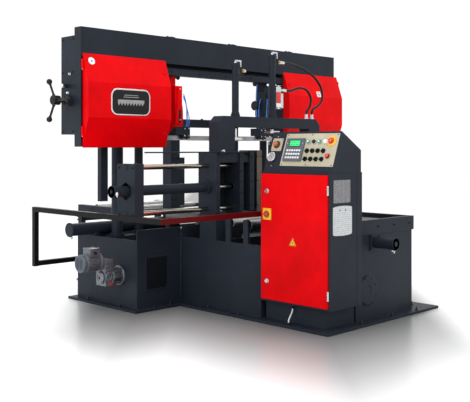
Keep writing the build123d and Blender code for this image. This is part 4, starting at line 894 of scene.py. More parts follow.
def table_details():
    """Roller end caps, table screws, chip grid, and the cap, fittings and screws of the side cylinder."""
    for name in ("outfeed_roller_1", "outfeed_roller_2", "infeed_roller_1", "infeed_roller_2"):
        low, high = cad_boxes[name]
        y, z = (low.y + high.y) / 2, (low.z + high.z) / 2
        inset = 0.0163
        ends = Piece(f"{name}_ends", name, "steel", STEEL, SEAL)
        for x, out in ((low.x + inset, LEFT), (high.x - inset, RIGHT)):
            at = on_face((x, y, z), out)
            ends.turned(at,
                        [(0.0445, -0.020), (0.0445, -0.0012), (0.0425, 0.0), (0.024, 0.0), (0.023, -0.001),
                             (0.012, -0.001)], 0, 40)
        ends.finish()
    fastening = Piece("table_fasteners", "frame", "steel", DARK_BOLT, DARK)
    low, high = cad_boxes["table_frame"]
    for x in (-0.22, 0.0, 0.22, 0.44):
        cap_screw(fastening, on_face((x, low.y, 0.728), FRONT), 0.009)
    for y in (-1.45, -1.05, -0.65, -0.25):
        cap_screw(fastening, on_face((high.x, y, 0.728), RIGHT), 0.009)
    low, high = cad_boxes["bed_table"]
    for x in (low.x + 0.05, low.x + 0.30, high.x - 0.30, high.x - 0.05):
        for y in (-0.045, 0.050, 0.145, 0.440):
            fastening.turned(on_face((x, y, high.z), UP, BACK),
                             [(0.012, 0), (0.012, 0.0003), (0.006, 0.0003),
                                                                (0, 0.0001)], 0, 20)
    low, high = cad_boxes["infeed_frame"]
    for x, out in ((low.x, LEFT), (high.x, RIGHT)):
        for y in (1.000, 1.400):
            hex_head(fastening, on_face((x, y, 0.731), out), 0.012)
        for y in (0.805, 1.620):
            for z in (0.615, 0.645):
                cap_screw(fastening, on_face((x, y, z), out), 0.010)
    fastening.finish()
    tray = Piece("chip_grid", "frame", "steel", BED_STEEL)
    z = 0.7505
    for step in range(12):
        x = -0.235 + step * 0.054
        tray.block(Matrix(), (x, -1.560, z - 0.003), (x + 0.030, -1.190, z), 0.001)
    tray.finish()
    side = Piece("side_cylinder_details", "frame", "chrome", DARK, CHROME, DARK_BOLT)
    low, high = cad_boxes["side_cylinder"]
    at = on_face((-0.041, low.y, 0.609), FRONT)
    side.turned(at, [(0.0455, -0.022), (0.0475, -0.018), (0.0475, -0.004), (0.044, 0.0), (0.020, 0.0),
                     (0.018, -0.004),
                     (0, -0.004)], 0, 40)
    fitting = on_face((-0.041, low.y + 0.020, 0.556), DOWN, BACK)
    side.turned(fitting, [(0.009, 0), (0.009, 0.008), (0.006, 0.010), (0.006, 0.018), (0, 0.018)], 1, 18)
    side.turned(fitting @ Matrix.Translation((0.022, 0, -0.006)),
                [(0.008, 0), (0.008, 0.008), (0.005, 0.011),
                                                                  (0, 0.011)], 1, 6)
    for x in (-0.048, 0.048):
        for z_at in (0.565, 0.652):
            cap_screw(side, on_face((-0.041 + x, -1.639, z_at), FRONT), 0.008, 2)
    side.finish()


def guard_details():
    """End caps, hinge straps and screws of the guard rail."""
    low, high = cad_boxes["guard_rail"]
    trim = Piece("guard_rail_trim", "frame", "black_paint", BLACK, DARK_BOLT)
    trim.block(Matrix(), (low.x + 0.0005, high.y - 0.001, 0.811), (low.x + 0.0395, high.y + 0.003, 0.849),
               0.003)
    trim.block(Matrix(), (low.x + 0.0005, high.y - 0.0395, low.z - 0.003),
               (low.x + 0.0395, high.y - 0.0005, low.z + 0.001),
               0.002)
    trim.block(Matrix(), (-1.166, 0.605, 0.348), (-1.156, 0.665, 0.408), 0.002)
    for y in (0.613, 0.657):
        for z in (0.356, 0.400):
            cap_screw(trim, on_face((-1.166, y, z), LEFT), 0.005, 1)
    trim.block(Matrix(), (-0.560, -1.0255, 0.815), (-0.520, -1.0195, 0.845), 0.002)
    trim.finish()


def auger_drive():
    """Fins, fan cover, terminal box, gear case ribs, lantern and screws of the chip auger's drive."""
    wall = -1.156
    drive = Piece("auger_drive_details", "frame", "aluminium", CAST, DARK_BOLT, BLACK_PLASTIC, ZINC,
                  RED_PLASTIC, GREY_PLASTIC)
    axis_y, axis_z = 0.160, 0.276
    motor_y, motor_z = 0.190, 0.404
    box_x = wall - 0.118
    flange = on_face((wall - 0.012, axis_y, axis_z), LEFT)
    drive.turned(flange, [(0.082, -0.004), (0.0835, 0.002), (0.078, 0.006), (0.052, 0.006), (0.050, 0.001),
                          (0.036, 0.001)], 0, 48)
    for turn in range(8):
        angle = 2 * math.pi * (turn + 0.5) / 8
        cap_screw(drive,
                  flange @ Matrix.Translation((0.070 * math.cos(angle), 0.070 * math.sin(angle), 0.005)),
                  0.008, 3)
    for turn in range(4):
        rib = flange @ Matrix.Rotation(math.pi / 2 * turn, 4, "Z")
        drive.block(rib, (0.036, -0.005, 0.004), (0.070, 0.005, 0.094), 0.003, 0)
    ring = on_face((wall - 0.102, axis_y, axis_z), LEFT)
    drive.turned(ring, [(0.072, 0.0), (0.079, 0.002), (0.079, 0.011), (0.074, 0.014), (0.060, 0.014)], 0,
                 48)
    for turn in range(6):
        angle = 2 * math.pi * (turn + 0.5) / 6
        cap_screw(drive,
                  ring @ Matrix.Translation((0.068 * math.cos(angle), 0.068 * math.sin(angle), 0.013)),
                  0.008, 3)
    case = on_face((box_x - 0.088, axis_y, axis_z), LEFT)
    drive.turned(case, [(0.046, -0.018), (0.052, -0.014), (0.052, -0.004), (0.042, 0.002), (0.030, 0.002),
                        (0.028, -0.006), (0.012, -0.006), (0.011, 0.0), (0, 0.0)], 0, 40)
    drive.turned(case @ Matrix.Translation((0, 0, -0.0055)), [(0.027, 0), (0.027, 0.002), (0.013, 0.002),
                                                            (0.013, 0)], 2, 36)
    for turn in range(4):
        angle = math.radians(45 + 90 * turn)
        cap_screw(drive,
                  case @ Matrix.Translation((0.044 * math.cos(angle), 0.044 * math.sin(angle), -0.006)),
                  0.007, 3)
    side = on_face((box_x - 0.034, axis_y - 0.062, axis_z + 0.010), FRONT)
    drive.turned(side, [(0.036, -0.004), (0.038, 0.003), (0.034, 0.007), (0.022, 0.007), (0.020, 0.003),
                        (0, 0.003)],
                 0, 36)
    for level in (0.060, 0.095, 0.128):
        drive.block(Matrix(), (box_x - 0.070, axis_y - 0.068, axis_z + level),
                    (box_x + 0.002, axis_y - 0.060, axis_z + level + 0.008), 0.003, 0)
    tag = on_face((box_x - 0.012, axis_y - 0.062, axis_z - 0.048), FRONT)
    drive.cut(tag, rounded_outline(0.030, 0.022, 0.003), 0.0015, 0.0004, 4)
    motor = on_face((box_x - 0.072, motor_y, motor_z), LEFT)
    for fin in range(28):
        angle = 2 * math.pi * fin / 28
        out = motor @ Matrix.Rotation(angle, 4, "Z")
        top = (out.to_3x3() @ Vector((1, 0, 0))).z
        if top > 0.75:
            continue
        drive.block(out, (0.062, -0.0016, 0.022), (0.0745, 0.0016, 0.140), 0.0008, 0)
    for z0, z1, radius in ((0.0, 0.020, 0.074), (0.138, 0.152, 0.073)):
        drive.turned(motor, [(0.060, z0), (radius, z0 + 0.001), (radius, z1 - 0.003), (radius - 0.004, z1),
                             (0.060, z1)], 0, 48)
    fan = motor @ Matrix.Translation((0, 0, 0.188))
    drive.turned(fan, [(0.070, -0.036), (0.0725, -0.034), (0.0725, -0.006), (0.066, 0.002), (0.058, 0.004),
                       (0.056, 0.002)], 5, 48)
    for ring_r in (0.014, 0.028, 0.042):
        drive.turned(fan, [(ring_r, -0.001), (ring_r + 0.006, -0.001), (ring_r + 0.005, 0.003),
                           (ring_r + 0.001, 0.003), (ring_r, -0.001)], 2, 36)
    for spoke in range(4):
        drive.block(fan @ Matrix.Rotation(math.pi / 4 * (1 + 2 * spoke), 4, "Z"), (0.006, -0.002, 0.0),
                    (0.060, 0.002, 0.0035), 0.001, 2)
    lid_z = motor_z + 0.112
    drive.block(Matrix(), (box_x - 0.194, motor_y - 0.054, lid_z - 0.004),
                (box_x - 0.096, motor_y + 0.054, lid_z + 0.008), 0.004, 0)
    for x in (-0.184, -0.106):
        for y in (-0.044, 0.044):
            cap_screw(drive, on_face((box_x + x, motor_y + y, lid_z + 0.008), UP, BACK), 0.005, 3)
    gland = on_face((box_x - 0.145, motor_y - 0.050, motor_z + 0.082), FRONT)
    drive.turned(gland, [(0.014, -0.002), (0.014, 0.008), (0.010, 0.012), (0.010, 0.020), (0.006, 0.022),
                         (0, 0.022)], 2, 6)
    drive.finish()


# ------------------------------------------------------------------ gantry and vice
def gantry_details():
    """Cylinder flange screws, edge seams, rib screws, stop rod and jaw screws."""
    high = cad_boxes["gantry"][1]
    kit = Piece("gantry_fasteners", "frame", "steel", DARK_BOLT, ZINC, SEAL, DARK)
    for x in CLAMP_XS:
        top = on_face((x, CLAMP_Y, high.z + 0.014), UP, BACK)
        for turn in range(4):
            angle = math.radians(45 + 90 * turn)
            cap_screw(kit, top @ Matrix.Translation((0.034 * math.cos(angle), 0.034 * math.sin(angle), 0)),
                      0.007, 0)
    for x in (-0.6625, -0.385, -0.259):
        for z in (0.860, 0.970, 1.060, 1.150, 1.265):
            cap_screw(kit, on_face((x, -0.520, z), FRONT), 0.007, 0)
    for x in (-0.190, -0.146):
        for z in (0.850, 1.060, 1.270):
            cap_screw(kit, on_face((x, -0.520, z), FRONT), 0.006, 0)
    for z in (0.850, 1.140):
        for x in (0.455, 0.485):
            cap_screw(kit, on_face((x, -0.520, z), FRONT), 0.008, 0)
    kit.block(Matrix(), (0.512, -0.5235, 0.70), (0.645, -0.519, 0.705), 0.002, 3)
    kit.finish()
    seam = Piece("gantry_seams", "frame", "dark_paint", DARK)
    seam.block(Matrix(), (-0.654, -0.5235, 1.3095), (-0.467, -0.519, 1.3135), 0.0018)
    seam.block(Matrix(), (-0.467, -0.5235, 1.5165), (0.468, -0.519, 1.5205), 0.0018)
    seam.finish()
    stop = Piece("stop_rod", "frame", "chrome", DARK, CHROME, DARK_BOLT)
    rod = on_face((-1.443, -0.532, 1.308), RIGHT)
    stop.turned(rod,
                [(0, 0), (0.0045, 0.001), (0.0055, 0.003), (0.0055, 1.150), (0.0045, 1.152), (0, 1.152)],
                0, 20)
    stop.turned(rod @ Matrix.Translation((0, 0, 0.785)), [(0.012, 0), (0.016, 0.002), (0.016, 0.024),
                                                          (0.012, 0.026), (0, 0.026)], 0, 24)
    stop.turned(on_face((-0.645, -0.540, 1.318), FRONT), [(0.006, 0), (0.006, 0.014), (0.011, 0.018),
                                                          (0.0125, 0.026), (0.010, 0.033), (0, 0.036)], 1,
                                                          24)
    stop.block(Matrix(), (-0.650, -0.545, 1.285), (-0.625, -0.519, 1.322), 0.003, 0)
    stop.block(Matrix(), (-0.310, -0.545, 1.280), (-0.285, -0.519, 1.322), 0.003, 0)
    stop.finish()


def vice_details():
    """Rod nuts, plate screws, cylinder end cap and fittings, and the jaw's grooved face."""
    low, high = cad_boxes["vice_crosshead"]
    head = Piece("crosshead_details", "vice", "steel", DARK_BOLT, DARK, ZINC)
    for y in (-0.495, -0.330):
        for z in (low.z + 0.030, high.z - 0.030):
            cap_screw(head, on_face((low.x, y, z), LEFT), 0.010)
    for z in (0.836, 1.194):
        at = on_face((low.x, -0.412, z), LEFT)
        head.turned(at, [(0.021, 0), (0.021, 0.003), (0.0185, 0.006), (0, 0.006)], 1, 36)
        ring = on_face((high.x, -0.412, z), RIGHT)
        head.turned(ring, [(0.0202, 0), (0.032, 0), (0.032, 0.012), (0.028, 0.016), (0.0202, 0.016),
                           (0.0202, 0)], 1, 36)
    head.finish()
    jaw = Piece("jaw_details", "vice", "steel", JAW, DARK_BOLT)
    low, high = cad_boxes["vice_jaw"]
    for step in range(10):
        z = low.z + 0.030 + step * 0.050
        jaw.block(Matrix(), (high.x - 0.001, low.y + 0.006, z),
                  (high.x + 0.0015, high.y - 0.006, z + 0.030), 0.0007)
    jaw.finish()
    low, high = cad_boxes["vice_cylinder"]
    end = Piece("vice_cylinder_end", "frame", "chrome", DARK, CHROME, DARK_BOLT, ROD_STEEL)
    at = on_face((low.x, -0.412, 1.015), LEFT)
    end.turned(at, [(0.045, -0.020), (0.0465, -0.016), (0.0465, -0.003), (0.043, 0.0), (0.016, 0.0),
                    (0.014, -0.004),
                    (0, -0.004)], 0, 48)
    elbow = on_face((low.x - 0.0005, -0.412, 1.015), LEFT)
    end.turned(elbow, [(0.012, -0.004), (0.012, 0.004), (0.009, 0.006), (0, 0.006)], 2, 6)
    port = on_face((-1.646, -0.452, 1.000), FRONT)
    end.turned(port, [(0.013, -0.004), (0.013, 0.010), (0.010, 0.013), (0.010, 0.020), (0, 0.021)], 1, 6)
    end.turned(on_face((-1.646, -0.464, 1.004), DOWN, BACK),
               [(0.0085, -0.01), (0.0085, 0.016), (0.0065, 0.018), (0.0065, 0.026), (0, 0.028)], 1, 20)
    end.finish()


def clamp_details():
    """Bands, gland nuts, port blocks and hose ends of the clamping cylinders."""
    kit = Piece("clamp_details", "frame", "chrome", DARK, CHROME, BRASS, SEAL, DARK_BOLT)
    for x, top in zip(CLAMP_XS, CLAMP_TOPS):
        base = on_face((x, CLAMP_Y, 1.623), UP, BACK)
        kit.turned(base, [(0.0302, 0), (0.035, 0), (0.035, 0.018), (0.032, 0.022), (0.0302, 0.022),
                          (0.0302, 0)], 0, 40)
        cap = on_face((x, CLAMP_Y, top), UP, BACK)
        kit.turned(cap,
                   [(0.0302, -0.026), (0.0345, -0.026), (0.0345, -0.003), (0.031, 0.001), (0.012, 0.001),
                         (0.012, -0.002)], 0, 40)
        kit.turned(cap, [(0.0125, 0), (0.0125, 0.010), (0.0105, 0.012), (0, 0.012)], 1, 6)
        arm = on_face((x + 0.012, CLAMP_Y, top + 0.022), RIGHT)
        kit.turned(arm, [(0.0062, 0), (0.0095, 0.001), (0.0095, 0.014), (0.0062, 0.015)], 1, 6)
        kit.turned(arm @ Matrix.Translation((0, 0, 0.032)), [(0.0062, 0), (0.0095, 0.001), (0.0095, 0.014),
                                                             (0.0062, 0.015)], 1, 6)
        port = on_face((x + 0.098, CLAMP_Y, top - 0.060), RIGHT)
        kit.turned(port, [(0.0125, -0.002), (0.0155, 0.0), (0.0155, 0.012), (0.0125, 0.014)], 1, 6)
        wiper = on_face((x, CLAMP_Y, 1.518), DOWN, BACK)
        kit.turned(wiper,
                   [(0.0145, -0.001), (0.026, -0.001), (0.026, 0.006), (0.020, 0.011), (0.0145, 0.012),
                           (0.0145, -0.001)], 3, 36)
    kit.finish()
    hoses = Piece("hose_ends", "frame", "chrome", CHROME, DARK_BOLT, RED_PLASTIC)
    for start in ((0.180, CLAMP_Y, 2.109), (0.206, CLAMP_Y, 1.860)):
        at = on_face(start, RIGHT)
        hoses.turned(at, [(0.0112, -0.004), (0.0135, -0.002), (0.0135, 0.034), (0.0125, 0.037),
                          (0.0112, 0.037)],
                     0, 28)
    for x in (0.612, 0.532):
        at = on_face((x, CLAMP_Y, 1.609), UP, BACK)
        hoses.turned(at, [(0.0185, 0), (0.0185, 0.012), (0.014, 0.014), (0.0138, 0.044), (0.0112, 0.046)],
                     0, 28)
    hoses.finish()
    valve = Piece("valve_details", "frame", "aluminium", CHROME, RED_PLASTIC, DARK_BOLT, BLACK_PLASTIC,
                  WHITE_PLASTIC)
    valve.block(Matrix(), (0.094, -0.486, 1.742), (0.150, -0.481, 1.842), 0.002, 1)
    valve.block(Matrix(), (0.092, -0.4845, 1.704), (0.154, -0.4815, 1.736), 0.001, 4)
    for z in (1.698, 1.892):
        for x in (0.100, 0.146):
            cap_screw(valve, on_face((x, -0.482, z), FRONT), 0.007, 2)
    coil = on_face((0.180, CLAMP_Y, 1.830), UP, BACK)
    valve.turned(coil, [(0.018, 0), (0.018, 0.004), (0.010, 0.007), (0.010, 0.014), (0, 0.014)], 3, 24)
    valve.finish()


def rear_details():
    """Feed cylinder cap, fitting and band, post feet and screws of the rear gantry."""
    kit = Piece("rear_details", "frame", "steel", DARK, DARK_BOLT, CHROME)
    low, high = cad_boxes["rear_gantry"]
    at = on_face((low.x, 0.560, 0.641), LEFT)
    kit.turned(at, [(0.0605, -0.016), (0.0618, -0.013), (0.0618, -0.003), (0.058, 0.0), (0.048, 0.001),
                    (0.046, -0.003),
                    (0, -0.003)], 0, 48)
    kit.turned(on_face((low.x + 0.012, 0.540, 0.580), DOWN, BACK),
               [(0.010, -0.002), (0.010, 0.010), (0.0075, 0.012),
                                                               (0.0075, 0.018), (0, 0.018)], 2, 20)
    for x0, x1 in ((-0.300, -0.190), (0.480, 0.600)):
        for x in (x0 + 0.025, x1 - 0.025):
            for z in (0.86, 1.00, 1.14, 1.24):
                cap_screw(kit, on_face((x, 0.500, z), FRONT), 0.009, 1)
                cap_screw(kit, on_face((x, 0.620, z), BACK), 0.009, 1)
    for x in (-0.245, 0.150, 0.540):
        hex_head(kit, on_face((x, 0.560, high.z), UP, BACK), 0.014, 1)
    kit.finish()


# ------------------------------------------------------------------ cabinet and console
def panel_buttons():
    """Bezel rings, lenses, emergency stop mushroom and its collar, pilot lamp and knob skirts."""
    rings = Piece("panel_bezels", "frame", "chrome", CHROME, YELLOW_PLASTIC, BLACK_PLASTIC, WHITE_PLASTIC,
                  LAMP, DARK_BOLT)
    for y in DEVICE_YS[:3]:
        at = on_panel(y, BUTTON_Z, PANEL_SHEET)
        rings.turned(at, [(0.0156, 0.002), (0.0195, 0.002), (0.0195, 0.0055), (0.0180, 0.0085),
                          (0.0156, 0.0085),
                          (0.0156, 0.002)], 0, 40)
    lamp = on_panel(DEVICE_YS[3] - 0.004, BUTTON_Z, PANEL_SHEET)
    rings.turned(lamp, [(0.0195, 0), (0.0195, 0.005), (0.0180, 0.008), (0.0150, 0.008), (0.0150, 0.004)], 0,
                 40)
    rings.turned(lamp, [(0.0150, 0.004), (0.0150, 0.013), (0.0120, 0.0185), (0.0065, 0.0215), (0, 0.0225)],
                 4, 40)
    collar = on_face(ESTOP, PANEL_OUT, PANEL_UP)
    rings.turned(collar,
                 [(0.0235, 0.0025), (0.0405, 0.0), (0.0420, 0.002), (0.0405, 0.0045), (0.0300, 0.0070),
                          (0.0245, 0.0080), (0.0235, 0.0025)], 1, 48)
    for y in DEVICE_YS:
        for z in SELECTOR_ZS:
            at = on_panel(y, z, PANEL_SHEET)
            rings.turned(at,
                         [(0.0162, 0), (0.0190, 0.0), (0.0190, 0.0030), (0.0175, 0.0050), (0.0162, 0.0050),
                              (0.0162, 0)], 2, 40)
            mark = on_panel(y, z, PANEL_SHEET + 0.0238) @ Matrix.Rotation(math.radians(65), 4, "Z")
            rings.block(mark, (0.006, -0.0009, 0.0), (0.0135, 0.0009, 0.0006), 0.0002, 3)
    for y, z, radius in ((*SPEED_AT, 0.019), (*FEED_AT, 0.030)):
        at = on_panel(y, z, PANEL_SHEET + 0.0028)
        rings.turned(at,
                     [(0.0086, 0), (radius, 0), (radius, 0.0012), (radius - 0.002, 0.002), (0.0086, 0.002),
                          (0.0086, 0)], 2, 44)
        for tick in range(11):
            turn = math.radians(225 - 27 * tick)
            place = on_panel(y, z, PANEL_SHEET) @ Matrix.Translation(
                ((radius + 0.006) * math.cos(turn), (radius + 0.006) * math.sin(turn), 0))
            rings.block(place @ Matrix.Rotation(turn, 4, "Z"), (-0.0025, -0.0006, 0),
                        (0.0025, 0.0006, 0.0004),
                        0.0001, 2)
    for y in (-1.190, -1.430, -1.670):
        for z in (1.215, 1.441):
            screw = on_panel(y, z, PANEL_SHEET)
            rings.turned(screw, [(0.0048, 0), (0.0044, 0.0016), (0.0018, 0.0024), (0, 0.0012)], 5, 18)
    for dy in (-0.042, 0.042):
        for dz in (-0.039, 0.039):
            screw = on_panel(FEED_AT[0] + dy, FEED_AT[1] + dz, PANEL_SHEET)
            rings.turned(screw, [(0.0036, 0), (0.0032, 0.0012), (0, 0.0014)], 5, 16)
    rings.finish()
    for name, y, material, glow in (("start_button", DEVICE_YS[0], GREEN_PLASTIC, WHITE_PLASTIC),
                                    ("stop_button", DEVICE_YS[1], BLACK_PLASTIC, BLACK_PLASTIC),
                                    ("coolant_button", DEVICE_YS[2], GREEN_PLASTIC, WHITE_PLASTIC)):
        lens = Piece(f"{name}_lens", name, "green_plastic", material, glow)
        at = on_panel(y, BUTTON_Z, PANEL_SHEET + 0.0158)
        lens.turned(at, [(0.0135, -0.001), (0.0135, 0.0006), (0.0115, 0.0018), (0.0070, 0.0022)], 0, 36)
        lens.turned(at, [(0.0072, 0.0005), (0.0070, 0.0022), (0.0040, 0.0026), (0, 0.0027)], 1, 32)
        lens.finish()
    mushroom = Piece("emergency_stop_cap", "emergency_stop", "red_plastic", RED_PLASTIC, WHITE_PLASTIC)
    at = on_face(ESTOP, PANEL_OUT, PANEL_UP)
    mushroom.turned(at, [(0.0120, 0.010), (0.0215, 0.0125), (0.0222, 0.0165), (0.0214, 0.0215),
                         (0.0180, 0.0262),
                         (0.0120, 0.0284), (0, 0.0294)], 0, 48)
    for turn in range(3):
        arrow = at @ Matrix.Rotation(2 * math.pi * turn / 3, 4,
                                     "Z") @ Matrix.Translation((0.0105, 0, 0.0284))
        mushroom.cut(arrow, [(-0.0012, -0.0035), (0.0020, -0.0035), (0.0020, 0.001), (0.0034, 0.001),
                             (0.0004, 0.0045),
                             (-0.0026, 0.001), (-0.0012, 0.001)], 0.0008, 0.0002, 1)
    mushroom.finish()
    for name, place, radius, height in (("blade_speed_knob", SPEED_AT, 0.014, 0.018),
                                        ("feed_rate_knob", FEED_AT, 0.020, 0.026)):
        knob = Piece(f"{name}_grip", name, "red_plastic", nodes[name].data.materials[0], WHITE_PLASTIC)
        at = on_panel(*place, PANEL_SHEET + 0.0035)
        for rib in range(20):
            knob.block(at @ Matrix.Rotation(2 * math.pi * rib / 20, 4, "Z"),
                       (radius - 0.001, -0.0012, 0.001),
                       (radius + 0.0012, 0.0012, height - 0.002), 0.0006, 0)
        knob.block(at, (radius * 0.25, -0.0008, height - 0.0002), (radius * 0.85, 0.0008, height + 0.0006),
                   0.0003, 1)
        knob.finish()


def panel_faces():
    """Display glass with plain bars, its bezel and keys, and the gauge's dial, needle and glass ring."""
    middle_y = sum(DISPLAY_Y) / 2
    unit = Piece("display_details", "frame", "grey_plastic", GREY_PLASTIC, SCREEN, SCREEN_INK,
                 WHITE_PLASTIC,
                 BLACK_PLASTIC, DARK_BOLT)
    screen = on_panel(middle_y, 1.374, 0.0130)
    unit.cut(screen, rounded_outline(0.112, 0.052, 0.004), 0.0012, 0.0005, 4)
    unit.cut(screen @ Matrix.Translation((0, 0, 0.0010)), rounded_outline(0.100, 0.042, 0.002), 0.0008,
             0.0003, 1)
    for row in range(2):
        for cell in range(8):
            if (row * 8 + cell) % 7 == 5:
                continue
            at = screen @ Matrix.Translation((-0.042 + cell * 0.012, 0.009 - row * 0.018, 0.0017))
            unit.block(at, (-0.0035, -0.0035, 0), (0.0035, 0.0035, 0.0004), 0.0001, 2)
    for row in range(3):
        for column in range(6):
            at = on_panel(middle_y - (column - 2.5) * 0.024, 1.266 + row * 0.027, 0.0154)
            unit.cut(at, rounded_outline(0.0145, 0.0125, 0.0025, 4), 0.0012, 0.0005, 3)
            unit.block(at, (-0.0035, -0.0006, 0.0010), (0.0035, 0.0006, 0.0015), 0.0001, 4)
    for y in (DISPLAY_Y[0] + 0.009, DISPLAY_Y[1] - 0.009):
        for z in (DISPLAY_Z[0] + 0.008, DISPLAY_Z[1] - 0.008):
            unit.turned(on_panel(y, z, 0.0128), [(0.0036, 0), (0.0032, 0.0012), (0, 0.0014)], 5, 16)
        unit.turned(on_panel(y - math.copysign(0.006, y - middle_y), 1.374, 0.0128),
                    [(0.003, 0), (0.003, 0.0014), (0, 0.0018)], 3, 16)
    unit.finish()
    gauge = Piece("gauge_details", "frame", "chrome", CHROME, DIAL, BLACK_PLASTIC, RED_PLASTIC)
    at = on_panel(GAUGE.y, GAUGE.z, 0.0)
    gauge.turned(at, [(0.0362, 0.0), (0.0395, 0.0), (0.0405, 0.003), (0.0405, 0.017), (0.0385, 0.0225),
                      (0.0345, 0.0245), (0.0315, 0.0235), (0.0312, 0.0215), (0.0362, 0.0215),
                      (0.0362, 0.0)], 0, 56)
    gauge.turned(at, [(0.0308, 0.0165), (0.0308, 0.0180), (0, 0.0180)], 1, 48)
    for tick in range(21):
        turn = math.radians(225 - 13.5 * tick)
        long = 0.0055 if tick % 5 == 0 else 0.003
        place = at @ Matrix.Rotation(turn, 4, "Z") @ Matrix.Translation((0.0275, 0, 0.0178))
        gauge.block(place, (-long, -0.0005, 0), (0, 0.0005, 0.0005), 0.0001, 3 if tick > 16 else 2)
    needle = at @ Matrix.Rotation(math.radians(150), 4, "Z") @ Matrix.Translation((0, 0, 0.0186))
    gauge.cut(needle, [(-0.007, -0.0014), (0.024, -0.0003), (0.024, 0.0003), (-0.007, 0.0014)], 0.0006,
              0.0002, 2)
    gauge.turned(at, [(0.0034, 0.0182), (0.0034, 0.0202), (0, 0.0206)], 2, 20)
    gauge.finish()
    tag = Piece("gauge_screw", "frame", "chrome", CHROME)
    for y, z in ((-1.083, 1.205), (-1.083, 1.430)):
        tag.turned(on_panel(y, z, 0), [(0.0045, 0), (0.0045, 0.0018), (0.0020, 0.0026), (0, 0.0016)], 0, 18)
    tag.finish()


def door_details():
    """Hinge pins, lock rings, switch collar and marks, the warning triangle and the main switch's grip."""
    face_x = -0.7013
    kit = Piece("door_details", "cabinet_door", "chrome", CHROME, BLACK_PLASTIC, YELLOW_PLASTIC, DARK_BOLT,
                RED)
    for z in (0.276, 1.035):
        for end, out in ((-0.028, DOWN), (0.028, UP)):
            pin = on_face((-0.703, -1.696, z + end), out, BACK)
            kit.turned(pin, [(0.0072, -0.002), (0.0078, 0.0), (0.0078, 0.004), (0.0055, 0.007), (0, 0.007)],
                       0, 24)
        for step in (-0.018, 0.0, 0.018):
            band = on_face((-0.703, -1.696, z + step - 0.0006), UP, BACK)
            kit.turned(band, [(0.0068, 0.0), (0.0074, 0.0002), (0.0074, 0.0010), (0.0068, 0.0012)], 1, 24)
    for z in (0.321, 1.011):
        ring = on_face((face_x, -1.101, z), LEFT)
        kit.turned(ring, [(0.0145, -0.002), (0.0190, -0.001), (0.0190, 0.0015), (0.0165, 0.0035),
                          (0.0148, 0.0035), (0.0145, -0.002)], 0, 40)
    plate_x = face_x - 0.004
    switch = on_face((plate_x, SWITCH.y, SWITCH.z), LEFT)
    kit.turned(switch, [(0.0275, 0.0), (0.0330, 0.0), (0.0320, 0.0035), (0.0285, 0.0045), (0.0275, 0.0045),
                        (0.0275, 0.0)], 2, 48)
    for dy in (-0.037, 0.037):
        for dz in (-0.037, 0.037):
            kit.turned(switch @ Matrix.Translation((dy, dz, 0)),
                       [(0.0035, 0), (0.0030, 0.001), (0, 0.0012)], 3, 16)
    kit.finish()
    handle = Piece("main_switch_grip", "main_switch", "red_plastic", SWITCH_RED, WHITE_PLASTIC)
    tip = on_face((plate_x - 0.0003 - 0.026, SWITCH.y, SWITCH.z), LEFT)
    handle.cut(tip @ Matrix.Translation((0, 0, -0.0005)), rounded_outline(0.046, 0.0095, 0.0045, 6), 0.0015,
               0.0006, 0)
    handle.block(tip, (0.012, -0.0012, 0.0008), (0.021, 0.0012, 0.0016), 0.0003, 1)
    handle.finish()
    sign = Piece("warning_sign", "cabinet_door", "red_plastic", YELLOW_PLASTIC, BLACK_PLASTIC)
    at = on_face((face_x, -1.362, 0.632), LEFT)
    for size, lift, finish in ((0.040, 0.0, 0), (0.034, 0.0006, 1), (0.0285, 0.0012, 0)):
        corners = [(size * math.cos(math.radians(a)), size * math.sin(math.radians(a)))
                   for a in (90, 210, 330)]
        sign.cut(at @ Matrix.Translation((0, 0, lift)), corners, 0.0009, 0.0002, finish)
    sign.turned(at @ Matrix.Translation((0, 0, 0.0018)), [(0.0055, 0), (0.0055, 0.0006), (0, 0.0006)], 1,
                24)
    sign.finish()


